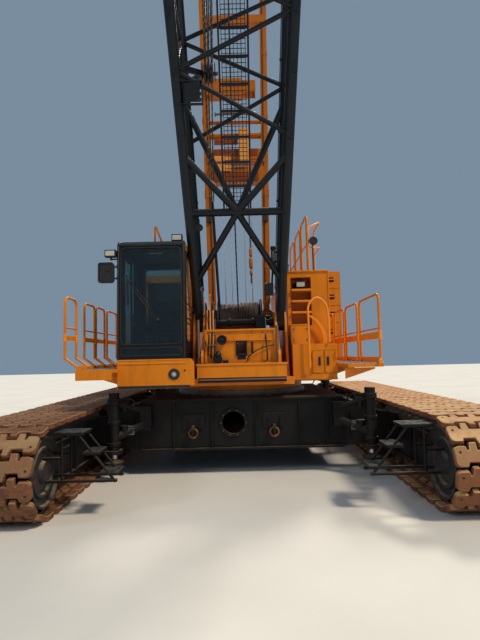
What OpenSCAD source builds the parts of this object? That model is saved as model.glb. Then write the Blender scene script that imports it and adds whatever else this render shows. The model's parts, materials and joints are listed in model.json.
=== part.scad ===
// Crawler crane with a lattice boom, standing on level ground.
// Millimetres. The origin is on the ground under the swing axis, -Y is the crane's
// front, +X is its left side, which is the right of a view from the front, +Z is up.

/* [Crawlers] */
// Overall length of each track loop
track_l = 9200; // [8600:50:9800]
// Height of each track loop over its shoes
track_h = 1250; // [1200:10:1300]
// Width of a track shoe
shoe_w = 1200; // [1050:10:1260]
// Distance between the centre lines of the two tracks
gauge = 6300; // [6200:10:6500]
// Number of shoes in each loop
shoe_count = 64; // [56:1:72]
// Thickness of a shoe's pad
pad_t = 75; // [50:1:95]
// Thickness of the links under the pads
link_t = 95; // [80:1:110]
// Width of the box beam inside each crawler
side_w = 700; // [600:10:760]
// Radius of a lower roller
roller_r = 130; // [110:5:140]
// Number of lower rollers on each side
roller_count = 13; // [9:1:14]

/* [Carbody] */
// Width of the centre box
box_w = 3600; // [3400:20:3700]
// Length of the centre box
box_l = 3600; // [3400:20:3700]
// Height of the underside of the centre box over the ground
box_z = 440; // [400:5:500]
// Height of the centre box
box_h = 900; // [850:5:920]
// Thickness of the carbody plates
plate_t = 40; // [25:1:60]
// Radius of the round openings in the front and rear plates
port_r = 195; // [120:5:240]
// Width of each side arm, front to rear
arm_w = 1000; // [800:10:1100]
// Distance of an arm's centre line from the middle
arm_y = 1250; // [1180:10:1280]

/* [Swing bearing] */
// Outer radius of the fixed ring
ring_r = 1350; // [1200:10:1450]
// Height of the fixed ring
ring_h = 95; // [80:1:110]
// Radius of the spigot that the upper turns on
spigot_r = 1000; // [850:10:1050]
// Height of the turning ring
turn_h = 145; // [130:1:160]

/* [Upper frame] */
// Height of the underside of the deck plate
deck_z = 1580; // [1575:1:1600]
// Thickness of the deck plate
deck_t = 120; // [80:5:140]
// Position of the frame's front edge
frame_y0 = -2050; // [-2150:10:-1950]
// Position of the frame's rear edge
frame_y1 = 4300; // [4200:10:4400]
// Thickness of the frame's side webs
web_t = 40; // [25:1:45]
// Height of the top edge of the side webs
web_z = 2350; // [2250:10:2450]

/* [Boom] */
// Height of the boom's foot pin
boom_z = 2730; // [2690:5:2800]
// Position of the boom's foot pin
boom_y = -1200; // [-1300:5:-1150]
// Angle of the boom over the ground as it is parked
boom_angle = 72; // [70:1:74]
// Length of the tapered foot section
foot_l = 7600; // [7400:50:7800]
// Length of the middle section
mid_l = 3050; // [3000:50:3500]
// Length of the tapered head section
head_l = 7350; // [7200:50:7600]
// Diameter of a chord
chord_d = 170; // [150:2:180]
// Diameter of a lacing tube
lace_d = 76; // [60:1:90]
// Diameter of the foot section's heavy braces
brace_d = 115; // [95:1:130]
// Distance between the chords' centre lines at the foot
foot_span = 1550; // [1540:2:1560]
// Distance between the chords' centre lines in the middle section
boom_w = 2120; // [2050:10:2200]
// Depth between the chords' centre lines in the middle section
boom_h = 1950; // [1850:10:2000]
// Diameter of the boom's foot pins
pin_d = 120; // [100:2:130]
// Width of the walkway along the boom
walk_w = 500; // [400:10:560]

/* [Mast] */
// Height of the mast's foot pin
mast_z = 2900; // [2850:5:2950]
// Position of the mast's foot pin
mast_y = 0; // [-20:5:40]
// Angle of the mast over the ground as it is parked
mast_angle = 95; // [94:1:96]
// Length of the mast between its pins
mast_l = 9500; // [9300:50:9700]
// Width and depth of a mast leg
leg_w = 160; // [140:2:170]
// Distance between the legs' centre lines at the foot
leg_span = 1180; // [1170:2:1190]
// Distance between the legs' centre lines at the head
head_span = 1560; // [1500:10:1600]

/* [Cab] */
// Width of the cab
cab_w = 1150; // [1100:5:1160]
// Length of the cab
cab_l = 1700; // [1650:10:1740]
// Position of the cab's front
cab_y = -2400; // [-2450:5:-2350]
// Position of the cab's inner side
cab_x = -930; // [-945:1:-925]
// Height of the orange base of the cab
base_h = 490; // [450:5:500]
// Height of the cab over its base
cab_h = 2030; // [1900:10:2100]
// Thickness of the cab's walls
wall_t = 45; // [35:1:60]
// Thickness of the glass
glass_t = 8; // [6:1:10]

/* [Houses] */
// Inner side of the machine house
house_x = 950; // [940:2:970]
// Width of the machine house
house_w = 800; // [760:5:820]
// Position of the machine house's front
house_y = -1150; // [-1170:5:-1100]
// Length of the machine house
house_l = 4650; // [4550:10:4700]
// Height of the machine house's roof
house_z = 3720; // [3650:10:3800]
// Thickness of the house's panels with their frames
panel_t = 40; // [30:1:45]
// Width of a side door
door_w = 490; // [460:5:495]
// Running gap round a door
door_gap = 6; // [5:1:8]

/* [Catwalks and rails] */
// Height of the walking surface of the catwalks
walk_z = 1920; // [1900:5:1950]
// Thickness of a catwalk's deck
walk_t = 60; // [50:1:70]
// Outer edge of the right catwalk
walk_xr = 2330; // [2310:5:2360]
// Outer edge of the left catwalk
walk_xl = -2660; // [-2720:10:-2560]
// Diameter of a handrail tube
rail_d = 45; // [38:1:50]
// Height of a handrail
rail_h = 1150; // [1050:10:1250]

/* [Counterweight] */
// Outer width over the counterweight
weight_w = 6100; // [5900:20:6200]
// Width of each stack
stack_w = 1800; // [1700:10:1900]
// Position of the counterweight's front face
weight_y = 3750; // [3700:10:3800]
// Length of the counterweight
weight_l = 1650; // [1550:10:1700]
// Height of a slab
slab_h = 520; // [480:5:530]
// Number of slabs on each stack
slab_count = 5; // [3:1:6]

/* [Winches and hook] */
// Radius of a rope-wound drum
drum_r = 300; // [240:5:320]
// Radius of a drum's flanges
flange_r = 410; // [380:5:420]
// Diameter of the hoist rope
rope_d = 28; // [22:1:34]
// Radius of a head sheave
sheave_r = 300; // [280:5:310]
// Length of the ropes between the head sheaves and the hook block
fall_l = 3400; // [3000:50:3600]

/* [Hidden] */
$fn = 48;

// Colours
orange = "#E58A12";
boom_black = "#17191C";
car_black = "#1C1C1E";
rust = "#B08458";
steel = "#7A7A78";
glass = "#2B3B3C";
rubber = "#161616";

// Fits
fit = 0.05;
seat_gap = 0.3;
run_gap = 5;
cut = 1;

// Crawlers
track_r = track_h / 2;
track_a = track_l / 2 - track_r;
inner_r = track_r - pad_t - link_t;
loop_l = 4 * track_a + 2 * PI * track_r;
pitch = loop_l / shoe_count;
groove = 0.16;
band_w = shoe_w / 3;
roller_z = pad_t + link_t + seat_gap + roller_r;
side_z = roller_z + roller_r + 12;
side_h = 470;
side_l = 2 * track_a + 300;
idler_w = 520;
slot_w = idler_w + 40;
slot_y = track_a - inner_r - 40;
cheek_t = 40;
roller_run = 2 * (track_a - inner_r - roller_r - 60);

// Carbody
box_top = box_z + box_h;
ring_z = box_top;
turn_z = ring_z + ring_h;
arm_end_x = gauge / 2 - side_w / 2;
arm_end_z0 = 560;
arm_end_z1 = 1000;
jack_x = 2200;
jack_y = 2150;
jack_r = 90;
jack_z0 = 480;
jack_z1 = 1500;

// Upper frame
web_x = 680;
drum_half = 420;
engine_in = 150;
engine_z = 2900;
gantry_x = 560;
gantry_t = 30;
gantry_z = 2350;
gantry_sheave_r = 190;
gantry_sheaves = [-400, -200, 200, 400];
clevis_x = 870;
gusset_x = 500;
bracket_r = 190;
boom_eye_w = 2 * (clevis_x - web_t / 2 - foot_span / 2 - run_gap);
mast_eye_w = 2 * (web_x - web_t / 2 - leg_span / 2 - run_gap);
deck_top = deck_z + deck_t;

// Boom
boom_l = foot_l + mid_l + head_l;
tip_off = 760;
foot_h = 260;
bar_s = 2100;
bar_d = 130;
rung_step = 400;
frame_d = lace_d * 0.85;
foot_panels = [3350, 4330, 5150, 5930, 6660];
// Tilted chords stop this far short of a section's joint
end_gap = 12;
head_w = 900;
head_h = 640;
pendant_s = boom_l - 250;
lug_y = 520;
stub_r = 40;
stub_l = 100;
eye_w = 50;

// Mast
lug_off = -120;
head_plate_x = head_span / 2 - 20;
axle_y = 300;
leg_s = 330;
mast_axle_z = mast_l - 200;

// Cab
cab_x0 = cab_x - cab_w;
cab_z = deck_z + base_h;
cab_top = cab_z + cab_h;
plate_x1 = -790;
plate_run = 60;
sill_w = 60;
// The front leans back by front_lean up to the brow, a bevel up to the roof
front_lean = 70;
brow_y = 130;
brow_z = 50;
pane_top = cab_top - 110;
door_y0 = cab_y + 430;
cab_door_w = 800;
door_t = 34;
door_x = cab_x0 - 12;

// Houses
roof_z = house_z;
room_y = 1250;
hinge_r = 10;
hinge_h = 80;
knuckle_r = 18;
lug_h = 16;
pivot_out = 32;
door_proud = 12;
door_out = pivot_out - door_proud;
house_x1 = house_x + house_w;
house_y1 = house_y + house_l;
door_z0 = 1990;
door_h = 1500;
door_hinges = [door_z0 + 250, door_z0 + door_h - 250];
side_doors = [house_y + 500, house_y + 1450, room_y + 350];
tank_x = -1900;
tank_w = 920;
tank_z = 3640;
tank_y = -640;
tank_l = 4140;
locker_y = -1700;
locker_z = 2280;
locker_door_z = 1740;
locker_door_w = 210;
locker_door_h = 420;
locker_doors = [1305, 1527];
locker_hinges = [locker_door_z + 90, locker_door_z + locker_door_h - 90];

// Walks
walk_y0 = -2750;
fascia_h = 165;
rail_out = 190;
bend_rise = 200;

// Counterweight
tray_z = 1620;
tray_h = 340;
seat_x = 1000;
seam = 14;
eye_t = 60;
eye_z = 100;
eye_r = 40;

// Hook
sheave_xs = [-270, -90, 90, 270];
block_w = 740;
shank_r = 55;

// Point at distance t along a loop whose straights are 2a long, at radius r,
// with the distance measured at radius rc
function loop_point(t, a, r, rc) =
    t < 2 * a ? [-a + t, r] :
    t < 2 * a + PI * rc ? let (g = (t - 2 * a) / rc * 180 / PI)
        [a + r * sin(g), r * cos(g)] :
    t < 4 * a + PI * rc ? [a - (t - 2 * a - PI * rc), -r] :
    let (g = (t - 4 * a - PI * rc) / rc * 180 / PI) [-a - r * sin(g), -r * cos(g)];

// Outline of the pads round the loop, with a V groove between two pads
function pad_outline(shift) = [for (i = [0:shoe_count - 1], k = [0:2])
    let (t = (i + shift + [groove, 1 - groove, 1][k]) * pitch,
        r = track_r - [0, 0, pad_t * 0.7][k],
        u = t >= loop_l ? t - loop_l : t)
    loop_point(u, track_a, r, track_r)];

module tube(p, q, d) {
    v = q - p;
    translate(p) rotate([0, acos(v[2] / norm(v)), atan2(v[1], v[0])])
        cylinder(h = norm(v), d = d);
}

// Box given by its lowest and highest corners
module block(lo, hi) { translate(lo) cube(hi - lo); }

// Extrudes a profile drawn in Y and Z along X, from x0 over w
module along_x(x0, w) {
    translate([x0, 0, 0]) rotate([90, 0, 90]) linear_extrude(height = w) children();
}

// Rod along X
module rod_x(x0, x1, y, z, r) {
    translate([x0, y, z]) rotate([0, 90, 0]) cylinder(h = x1 - x0, r = r);
}

module both_sides() {
    children();
    mirror([1, 0, 0]) children();
}

module track(side) {
    color(rust) translate([side * gauge / 2, 0, track_r]) difference() {
        union() {
            for (b = [[-1.5, 0], [-0.5, 0.5], [0.5, 0]])
                along_x(b[0] * band_w, band_w) polygon(pad_outline(b[1]));
        }
        along_x(-shoe_w / 2 - cut, shoe_w + 2 * cut) union() {
            square([2 * track_a, 2 * inner_r], center = true);
            for (s = [-1, 1]) translate([s * track_a, 0]) circle(r = inner_r);
        }
    }
}

module track_left() { track(-1); }
module track_right() { track(1); }

module side_frames() {
    color(car_black) both_sides() translate([gauge / 2, 0, 0]) difference() {
        along_x(-side_w / 2, side_w) polygon([
            [-side_l / 2, side_z + 60], [-side_l / 2 + 250, side_z],
            [side_l / 2 - 250, side_z], [side_l / 2, side_z + 60],
            [side_l / 2, side_z + side_h - 60], [side_l / 2 - 250, side_z + side_h],
            [-side_l / 2 + 250, side_z + side_h], [-side_l / 2, side_z + side_h - 60]]);
        // Slots at both ends that take the idler and the sprocket
        for (i = [0, 1]) mirror([0, i, 0])
            block([-slot_w / 2, slot_y, side_z - cut],
                [slot_w / 2, side_l / 2 + cut, side_z + side_h + cut]);
    }
    // Cheeks that carry the rollers' axles
    color(car_black) both_sides() for (s = [-1, 1])
        translate([gauge / 2 + s * (slot_w + cheek_t) / 2, 0, 0])
            block([-cheek_t / 2, -roller_run / 2 - 100, roller_z - 60],
                [cheek_t / 2, roller_run / 2 + 100, side_z + cut]);
}

// Wheel profile with two rims and a groove between them, turned about X
module rim_wheel(r, w, groove_d, hub_r, hub_w) {
    rotate([0, 90, 0]) rotate_extrude() polygon([
        [0, -hub_w / 2], [hub_r, -hub_w / 2], [hub_r, -w / 2 + 60], [r * 0.8, -w / 2 + 60],
        [r * 0.86, -w / 2], [r, -w / 2], [r, -w * 0.2], [r - groove_d, -w * 0.12],
        [r - groove_d, w * 0.12], [r, w * 0.2], [r, w / 2], [r * 0.86, w / 2],
        [r * 0.8, w / 2 - 60], [hub_r, w / 2 - 60], [hub_r, hub_w / 2], [0, hub_w / 2]]);
}

module idlers() {
    color(car_black) both_sides() translate([gauge / 2, -track_a, track_r])
        rim_wheel(inner_r - seat_gap, idler_w, 50, 150, slot_w);
}

module sprockets() {
    teeth = 14;
    r = inner_r - seat_gap;
    color(car_black) both_sides() translate([gauge / 2, track_a, track_r]) {
        rotate([0, 90, 0]) cylinder(h = slot_w, r = 0.62 * inner_r, center = true);
        // Final drive on the inner face of the side frame
        rod_x(-side_w / 2 - 170, -side_w / 2, 0, 0, 0.55 * inner_r);
        for (s = [-1, 1]) along_x(s * idler_w * 0.3 - 60, 120)
            polygon([for (i = [0:teeth - 1], k = [0:3])
                let (g = (i + [0.12, 0.38, 0.55, 0.95][k]) * 360 / teeth,
                    q = [r, r, r * 0.84, r * 0.84][k]) [q * cos(g), q * sin(g)]]);
    }
}

module rollers() {
    color(car_black) both_sides() for (i = [0:roller_count - 1])
        translate([gauge / 2, -roller_run / 2 + i * roller_run / (roller_count - 1),
            roller_z]) rim_wheel(roller_r, idler_w, 25, 45, slot_w);
}

module carbody() {
    color(car_black) {
        difference() {
            block([-box_w / 2, -box_l / 2, box_z], [box_w / 2, box_l / 2, box_top]);
            // Cells between the inner webs
            for (c = [[-box_w / 2 + plate_t, -540], [-540 + plate_t, 220],
                    [220 + plate_t, box_w / 2 - plate_t]])
                block([c[0], -box_l / 2 + plate_t, box_z + plate_t],
                    [c[1], box_l / 2 - plate_t, box_top - plate_t]);
            translate([-160, 0, box_z + 466]) rotate([90, 0, 0])
                cylinder(h = box_l + 2 * cut, r = port_r, center = true);
        }
        both_sides() for (s = [-1, 1]) translate([0, s * arm_y + arm_w / 2, 0])
            rotate([90, 0, 0]) linear_extrude(height = arm_w) polygon([
                [box_w / 2 - cut, box_top - 40], [box_w / 2 + 400, box_top - 170],
                [gauge / 2 - shoe_w / 2 - 70, arm_end_z1 + 50], [arm_end_x, arm_end_z1],
                [arm_end_x, arm_end_z0],
                [box_w / 2 - cut, box_z]]);
    }
}

module slew_ring() {
    color(steel) translate([0, 0, ring_z]) difference() {
        cylinder(h = ring_h, r = ring_r);
        translate([0, 0, -cut]) cylinder(h = ring_h + 2 * cut, r = spigot_r + fit);
    }
}

module steps() {
    edge = gauge / 2 - shoe_w / 2 - 30;
    wall = gauge / 2 - side_w / 2;
    y0 = -4000;
    depth = 380;
    // Treads of one ladder: inward distance of its two edges, height
    treads = [[0, 410, 1130], [400, 620, 870], [600, 860, 600]];
    color(steel) both_sides() {
        for (t = treads) block([edge - t[1], y0, t[2] - 35], [edge - t[0], y0 + depth, t[2]]);
        for (y = [y0 + 20, y0 + depth - 20]) {
            tube([edge - 330, y, 1110], [edge - 830, y, 480], 36);
            tube([edge - 850, y, 500], [wall, y, 500], 44);
            tube([edge - 120, y, 1110], [edge - 120, y, 490], 32);
            tube([edge - 110, y, 800], [wall, y, 800], 40);
        }
    }
}

module jacks() {
    color(boom_black) both_sides() for (s = [-1, 1]) {
        translate([jack_x, s * jack_y, jack_z0]) {
            cylinder(h = jack_z1 - jack_z0, r = jack_r);
            cylinder(h = 60, r = 150);
        }
        // Arm between the carbody's corner and the jack
        tube([box_w / 2 - 100, s * (box_l / 2 + 90), box_z + 500],
            [jack_x, s * jack_y, box_z + 300], 130);
        tube([box_w / 2 - 100, s * (box_l / 2 + 90), box_z + 700],
            [jack_x, s * jack_y, box_z + 900], 90);
        block([box_w / 2 - 200, s > 0 ? box_l / 2 : -box_l / 2 - 160, box_z + 380],
            [box_w / 2, s > 0 ? box_l / 2 + 160 : -box_l / 2, box_z + 800]);
    }
}

module tow_lugs() {
    color(rust) for (s = [-1, 1], x = [-870, 560]) translate([x, s * box_l / 2, 0])
        mirror([0, s < 0 ? 1 : 0, 0]) {
            block([-190, 0, 820], [190, 35, 1060]);
            translate([0, 0, 790]) rotate([0, 90, 0]) difference() {
                union() {
                    translate([0, 90, -25]) cylinder(h = 50, r = 90);
                    block([-90, 0, -25], [90, 90, 25]);
                }
                translate([0, 95, -26]) cylinder(h = 52, r = 42);
            }
        }
}

// Upper works

// Side view of the long webs, from the front beam to the counterweight seat
module web_profile() {
    polygon([[frame_y0, deck_top - cut], [frame_y1, deck_top - cut], [frame_y1, web_z - 150],
        [2400, web_z], [900, web_z], [mast_y + bracket_r, mast_z],
        [mast_y, mast_z + bracket_r], [boom_y, boom_z + bracket_r],
        [boom_y - bracket_r, boom_z], [frame_y0, web_z - 250]]);
    translate([mast_y, mast_z]) circle(r = bracket_r);
    translate([boom_y, boom_z]) circle(r = bracket_r);
}

module bracket_profile(y, z, foot) {
    polygon([[y - foot, deck_top - cut], [y + foot, deck_top - cut],
        [y + bracket_r, z], [y - bracket_r, z]]);
    translate([y, z]) circle(r = bracket_r);
}

module upper_frame() {
    color(boom_black) {
        translate([0, 0, ring_z + run_gap]) cylinder(h = deck_z - ring_z, r = spigot_r);
        translate([0, 0, turn_z]) cylinder(h = deck_z - turn_z, r = ring_r - 60);
        block([cab_x, frame_y0, deck_z], [-cab_x, frame_y1, deck_top]);
        block([tank_x, tank_y, deck_z], [cab_x + cut, weight_y - run_gap, deck_top]);
        block([-cab_x - cut, house_y, deck_z], [house_x1, weight_y - run_gap, deck_top]);
    }
    color(orange) difference() {
        both_sides() {
            along_x(web_x - web_t / 2, web_t) web_profile();
            along_x(clevis_x - web_t / 2, web_t) bracket_profile(boom_y, boom_z, 420);
            along_x(gusset_x - web_t / 2, web_t) bracket_profile(mast_y, mast_z, 420);
        }
        rod_x(-1200, 1200, boom_y, boom_z, pin_d / 2);
        rod_x(-1200, 1200, mast_y, mast_z, pin_d / 2);
    }
}

// Pins of the boom and the mast, fast in the brackets
module foot_pins() {
    color(steel) both_sides() {
        rod_x(web_x - web_t / 2 - 20, clevis_x + web_t / 2 + 20, boom_y, boom_z, pin_d / 2);
        rod_x(gusset_x - web_t / 2 - 20, web_x + web_t / 2 + 20, mast_y, mast_z, pin_d / 2);
    }
}

module front_beam() {
    color(orange) {
        block([-760, frame_y0 - 120, deck_z + 80], [790, frame_y0, walk_z + 40]);
        // Panel behind the beam, with an opening and a round cover
        difference() {
            block([-web_x + web_t / 2, frame_y0 + 160, deck_top],
                [web_x - web_t / 2, frame_y0 + 200, 2560]);
            block([-60, frame_y0, 2120], [90, frame_y0 + 300, 2330]);
        }
        translate([-330, frame_y0 + 160, 2380]) rotate([90, 0, 0]) cylinder(h = 60, r = 90);
    }
}

// Drum with rope-wound barrel and two flanges, on a shaft between the webs
module drum(y, z, r, fr, half) {
    grooves = 12;
    step = 2 * half / grooves;
    translate([0, y, z]) rotate([0, 90, 0]) rotate_extrude() polygon(concat(
        [[0, -web_x + web_t / 2], [70, -web_x + web_t / 2], [70, -half - 40],
            [fr, -half - 40], [fr, -half]],
        [for (i = [0:grooves - 1], k = [0, 1])
            [r - (k == 0 ? 14 : 0), -half + (i + (k == 0 ? 0.02 : 0.5)) * step]],
        [[r - 14, half], [fr, half], [fr, half + 40], [70, half + 40],
            [70, web_x - web_t / 2], [0, web_x - web_t / 2]]));
}

module winches() {
    // y, z, how much smaller than the main drum, and how much smaller its flanges are
    drums = [[-440, 2860, 0, 0], [1150, 2180, 0, 20], [2350, 2140, 40, 40]];
    color(steel) for (d = drums) drum(d[0], d[1], drum_r - d[2], flange_r - d[3], drum_half);
}

// Frame on the tail for the boom hoist's lower sheaves, between the webs
module hoist_gantry() {
    y = frame_y1 - 200;
    color(orange) {
        both_sides() along_x(gantry_x, gantry_t) polygon([[y - 190, deck_top],
            [y + 180, deck_top], [y + 110, gantry_z + 130], [y - 110, gantry_z + 130]]);
        rod_x(-gantry_x - gantry_t - 30, gantry_x + gantry_t + 30, y, gantry_z, 45);
        rod_x(-gantry_x - 10, gantry_x + 10, y + 60, deck_top + 260, 30);
    }
    color(steel) for (x = gantry_sheaves)
        rod_x(x - 35, x + 35, y, gantry_z, gantry_sheave_r);
}

module engine() {
    color(steel) block([house_x + engine_in, room_y + engine_in, deck_top + panel_t],
        [house_x1 - engine_in, house_y1 - 2 * engine_in, engine_z]);
}

module machine_house() {
    color(orange) difference() {
        block([house_x, house_y, deck_top], [house_x1, house_y1, house_z]);
        // Inside, in two rooms
        block([house_x + panel_t, house_y + 420, deck_top + panel_t],
            [house_x1 - panel_t, room_y, house_z - panel_t]);
        block([house_x + panel_t, room_y + panel_t, deck_top + panel_t],
            [house_x1 - panel_t, house_y1 - panel_t, house_z - panel_t]);
        // Door openings
        for (y = side_doors) block([house_x1 - panel_t - cut, y, door_z0],
            [house_x1 + cut, y + door_w, door_z0 + door_h]);
        // Recess for the steps to the roof
        block([house_x + 60, house_y - cut, locker_z + 370],
            [house_x + 460, house_y + 380, house_z - 120]);
    }
    color(orange) for (y = side_doors)
        translate([house_x1 + pivot_out, y + door_gap, 0]) hinge_lugs(door_hinges);
}

// Hinge pins along Z with lugs that reach back to the wall at x = -pivot_out
module hinge_lugs(heights) {
    for (z = heights) translate([0, 0, z]) {
        cylinder(h = hinge_h + 2 * lug_h, r = hinge_r, center = true);
        for (s = [-1, 1]) translate([0, 0, s * (hinge_h + lug_h) / 2]) {
            cylinder(h = lug_h, r = knuckle_r, center = true);
            translate([-pivot_out, -knuckle_r, -lug_h / 2]) cube([pivot_out, knuckle_r - 2, lug_h]);
        }
    }
}

// Knuckles that turn on those pins, with webs to the door's face at x = -door_out
module hinge_knuckles(heights) {
    h = hinge_h - 2 * seat_gap;
    for (z = heights) translate([0, 0, z]) difference() {
        union() {
            cylinder(h = h, r = knuckle_r, center = true);
            translate([-door_out - cut, 0, -h / 2]) cube([door_out + cut, knuckle_r, h]);
        }
        cylinder(h = h + 2 * cut, r = hinge_r + fit, center = true);
    }
}

// Door with its hinge on the front edge, seated in its opening
module side_door(i) {
    y = side_doors[i];
    color(orange) {
        block([house_x1 - panel_t + 8, y + door_gap, door_z0 + door_gap],
            [house_x1 + door_proud, y + door_w - door_gap, door_z0 + door_h - door_gap]);
        block([house_x1 + door_proud - cut, y + door_w - 110, door_z0 + 700],
            [house_x1 + 40, y + door_w - 50, door_z0 + 860]);
    }
    color(orange) translate([house_x1 + pivot_out, y + door_gap, 0])
        hinge_knuckles(door_hinges);
}
module side_door_1() { side_door(0); }
module side_door_2() { side_door(1); }
module side_door_3() { side_door(2); }

// Frame at the hinge of locker door i, with +X out of the front and +Y along the door
module at_locker(i) {
    translate([locker_doors[i] + (i == 0 ? door_gap : locker_door_w - door_gap),
        locker_y - pivot_out, 0]) mirror([i, 0, 0]) rotate([0, 0, -90]) children();
}

module locker_box() {
    color(orange) {
        difference() {
            union() {
                block([house_x, locker_y, deck_z + 40], [house_x1, house_y, locker_z]);
                block([house_x, locker_y + 120, locker_z - cut],
                    [house_x + 320, house_y, locker_z + 370]);
            }
            for (x = locker_doors)
                block([x, locker_y - cut, locker_door_z],
                    [x + locker_door_w, locker_y + 420, locker_door_z + locker_door_h]);
        }
        for (i = [0, 1]) at_locker(i) hinge_lugs(locker_hinges);
    }
}

module locker_door(i) {
    x = locker_doors[i];
    color(orange) {
        block([x + door_gap, locker_y - door_proud, locker_door_z + door_gap],
            [x + locker_door_w - door_gap, locker_y + 20,
                locker_door_z + locker_door_h - door_gap]);
        at_locker(i) hinge_knuckles(locker_hinges);
    }
}
module locker_door_1() { locker_door(0); }
module locker_door_2() { locker_door(1); }

module front_steps() {
    color(orange) for (z = [2880, 3100, 3320])
        block([house_x + 60, house_y - 60, z], [house_x + 460, house_y + 200, z + 30]);
}

module exhaust() {
    color(steel) {
        translate([house_x + 300, 1900, house_z]) cylinder(h = 420, r = 110);
        translate([house_x + 300, 1900, house_z + 400]) cylinder(h = 320, r = 60);
    }
}

module tank_house() {
    color(orange) block([tank_x, tank_y, deck_top], [tank_x + tank_w, tank_y + tank_l, tank_z]);
}

// Cab

module cab_base() {
    color(orange) {
        block([cab_x0, cab_y, deck_z], [cab_x, cab_y + cab_l, cab_z]);
        // Front plate that runs past the cab, with a rounded corner
        translate([0, cab_y + plate_run, 0]) rotate([90, 0, 0])
            linear_extrude(height = plate_run) {
                translate([plate_x1 - 90, cab_z - 90]) circle(r = 90);
                translate([cab_x - cut, deck_z + 40])
                    square([plate_x1 - cab_x + cut, base_h - 130]);
                translate([cab_x - cut, cab_z - 100])
                    square([plate_x1 - cab_x - 90 + cut, 100]);
            }
    }
}

// Side view of the cab over its base, grown by t
module cab_profile(t) {
    polygon([[cab_y - t, cab_z - t], [cab_y + cab_l + t, cab_z - t],
        [cab_y + cab_l + t, cab_top + t], [cab_y + brow_y, cab_top + t],
        [cab_y + front_lean - t, cab_top - brow_z + t * 0.5]]);
}

module cab_shell() {
    color(boom_black) difference() {
        along_x(cab_x0, cab_w) cab_profile(0);
        along_x(cab_x0 + wall_t, cab_w - 2 * wall_t) cab_profile(-wall_t);
        // Windscreen and the window under it
        block([cab_x0 + sill_w, cab_y - 200, cab_z + 250],
            [cab_x - sill_w, cab_y + 200, pane_top]);
        block([cab_x0 + sill_w, cab_y - 200, cab_z + 60],
            [cab_x - sill_w, cab_y + 100, cab_z + 190]);
        // Side windows and the door opening
        block([cab_x - wall_t - cut, cab_y + 200, cab_z + 300],
            [cab_x + cut, cab_y + cab_l - 150, cab_top - 150]);
        block([cab_x0 - cut, door_y0, cab_z + 30],
            [cab_x0 + wall_t + cut, door_y0 + cab_door_w, cab_top - 110]);
        // Rear window
        block([cab_x0 + 150, cab_y + cab_l - 100, cab_z + 700],
            [cab_x - 150, cab_y + cab_l + cut, cab_top - 200]);
    }
    color(boom_black) difference() {
        door_runners();
        block([cab_x0 - cut, door_y0, cab_z + 30],
            [cab_x0 + wall_t + cut, door_y0 + cab_door_w, cab_top - 110]);
    }
}

// Windscreen pane between two heights, flush with the cab's front
module front_pane(z0, z1) {
    lean = front_lean / (cab_h - brow_z);
    y0 = cab_y + 12 + (z0 - cab_z) * lean;
    y1 = cab_y + 12 + (z1 - cab_z) * lean;
    along_x(cab_x0 + sill_w, cab_w - 2 * sill_w)
        polygon([[y0, z0], [y1, z1], [y1 + glass_t, z1], [y0 + glass_t, z0]]);
}

module cab_glass() {
    color(glass) {
        front_pane(cab_z + 250, pane_top);
        front_pane(cab_z + 60, cab_z + 190);
        block([cab_x - wall_t, cab_y + 200, cab_z + 300],
            [cab_x - wall_t + glass_t, cab_y + cab_l - 150, cab_top - 150]);
        block([cab_x0 + 150, cab_y + cab_l - wall_t, cab_z + 700],
            [cab_x - 150, cab_y + cab_l - wall_t + glass_t, cab_top - 200]);
    }
}

module cab_door() {
    color(boom_black) difference() {
        block([door_x - door_t, door_y0 - 30, cab_z + 10],
            [door_x, door_y0 + cab_door_w + 30, cab_top - 90]);
        block([door_x - door_t - cut, door_y0 + 40, cab_z + 250],
            [door_x + cut, door_y0 + cab_door_w - 40, cab_top - 180]);
    }
}

// Runners on the cab's side that the door slides on
module door_runners() {
    for (z = [cab_z + 60, cab_top - 150])
        block([door_x + seat_gap, cab_y + 330, z], [cab_x0 + cut, cab_y + cab_l, z + 40]);
}

module cab_door_glass() {
    color(glass) block([door_x - 20, door_y0 + 40, cab_z + 250],
        [door_x - 20 + glass_t, door_y0 + cab_door_w - 40, cab_top - 180]);
}

module seat() {
    x = cab_x0 + cab_w / 2;
    y = cab_y + 900;
    z = cab_z + wall_t;
    color(rubber) {
        block([x - 120, y - 100, z], [x + 120, y + 200, z + 330]);
        block([x - 250, y - 250, z + 330], [x + 250, y + 250, z + 450]);
        block([x - 240, y + 200, z + 450], [x + 240, y + 320, z + 1050]);
    }
}

module console() {
    z = cab_z + wall_t;
    color(steel) for (x = [cab_x0 + 130, cab_x - 290])
        block([x, cab_y + 620, z], [x + 160, cab_y + 1150, z + 560]);
}

// Rectangle with round corners, about its middle
module rounded(w, h, r) {
    square([w - 2 * r, h], center = true);
    square([w, h - 2 * r], center = true);
    for (x = [-1, 1], z = [-1, 1]) translate([x * (w / 2 - r), z * (h / 2 - r)]) circle(r = r);
}

module cab_mirror() {
    x = cab_x0 - 195;
    y = cab_y + 70;
    z = cab_top - 535;
    color(rubber) {
        translate([x, y + 30, z]) rotate([90, 0, 0])
            linear_extrude(height = 60) rounded(270, 350, 55);
        for (rise = [-100, 100]) {
            rod_x(x + 100, cab_x0 - 12, y, z + rise, 13);
            block([cab_x0 - 14, y - 30, z + rise - 30], [cab_x0, y + 30, z + rise + 30]);
        }
    }
}

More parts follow.
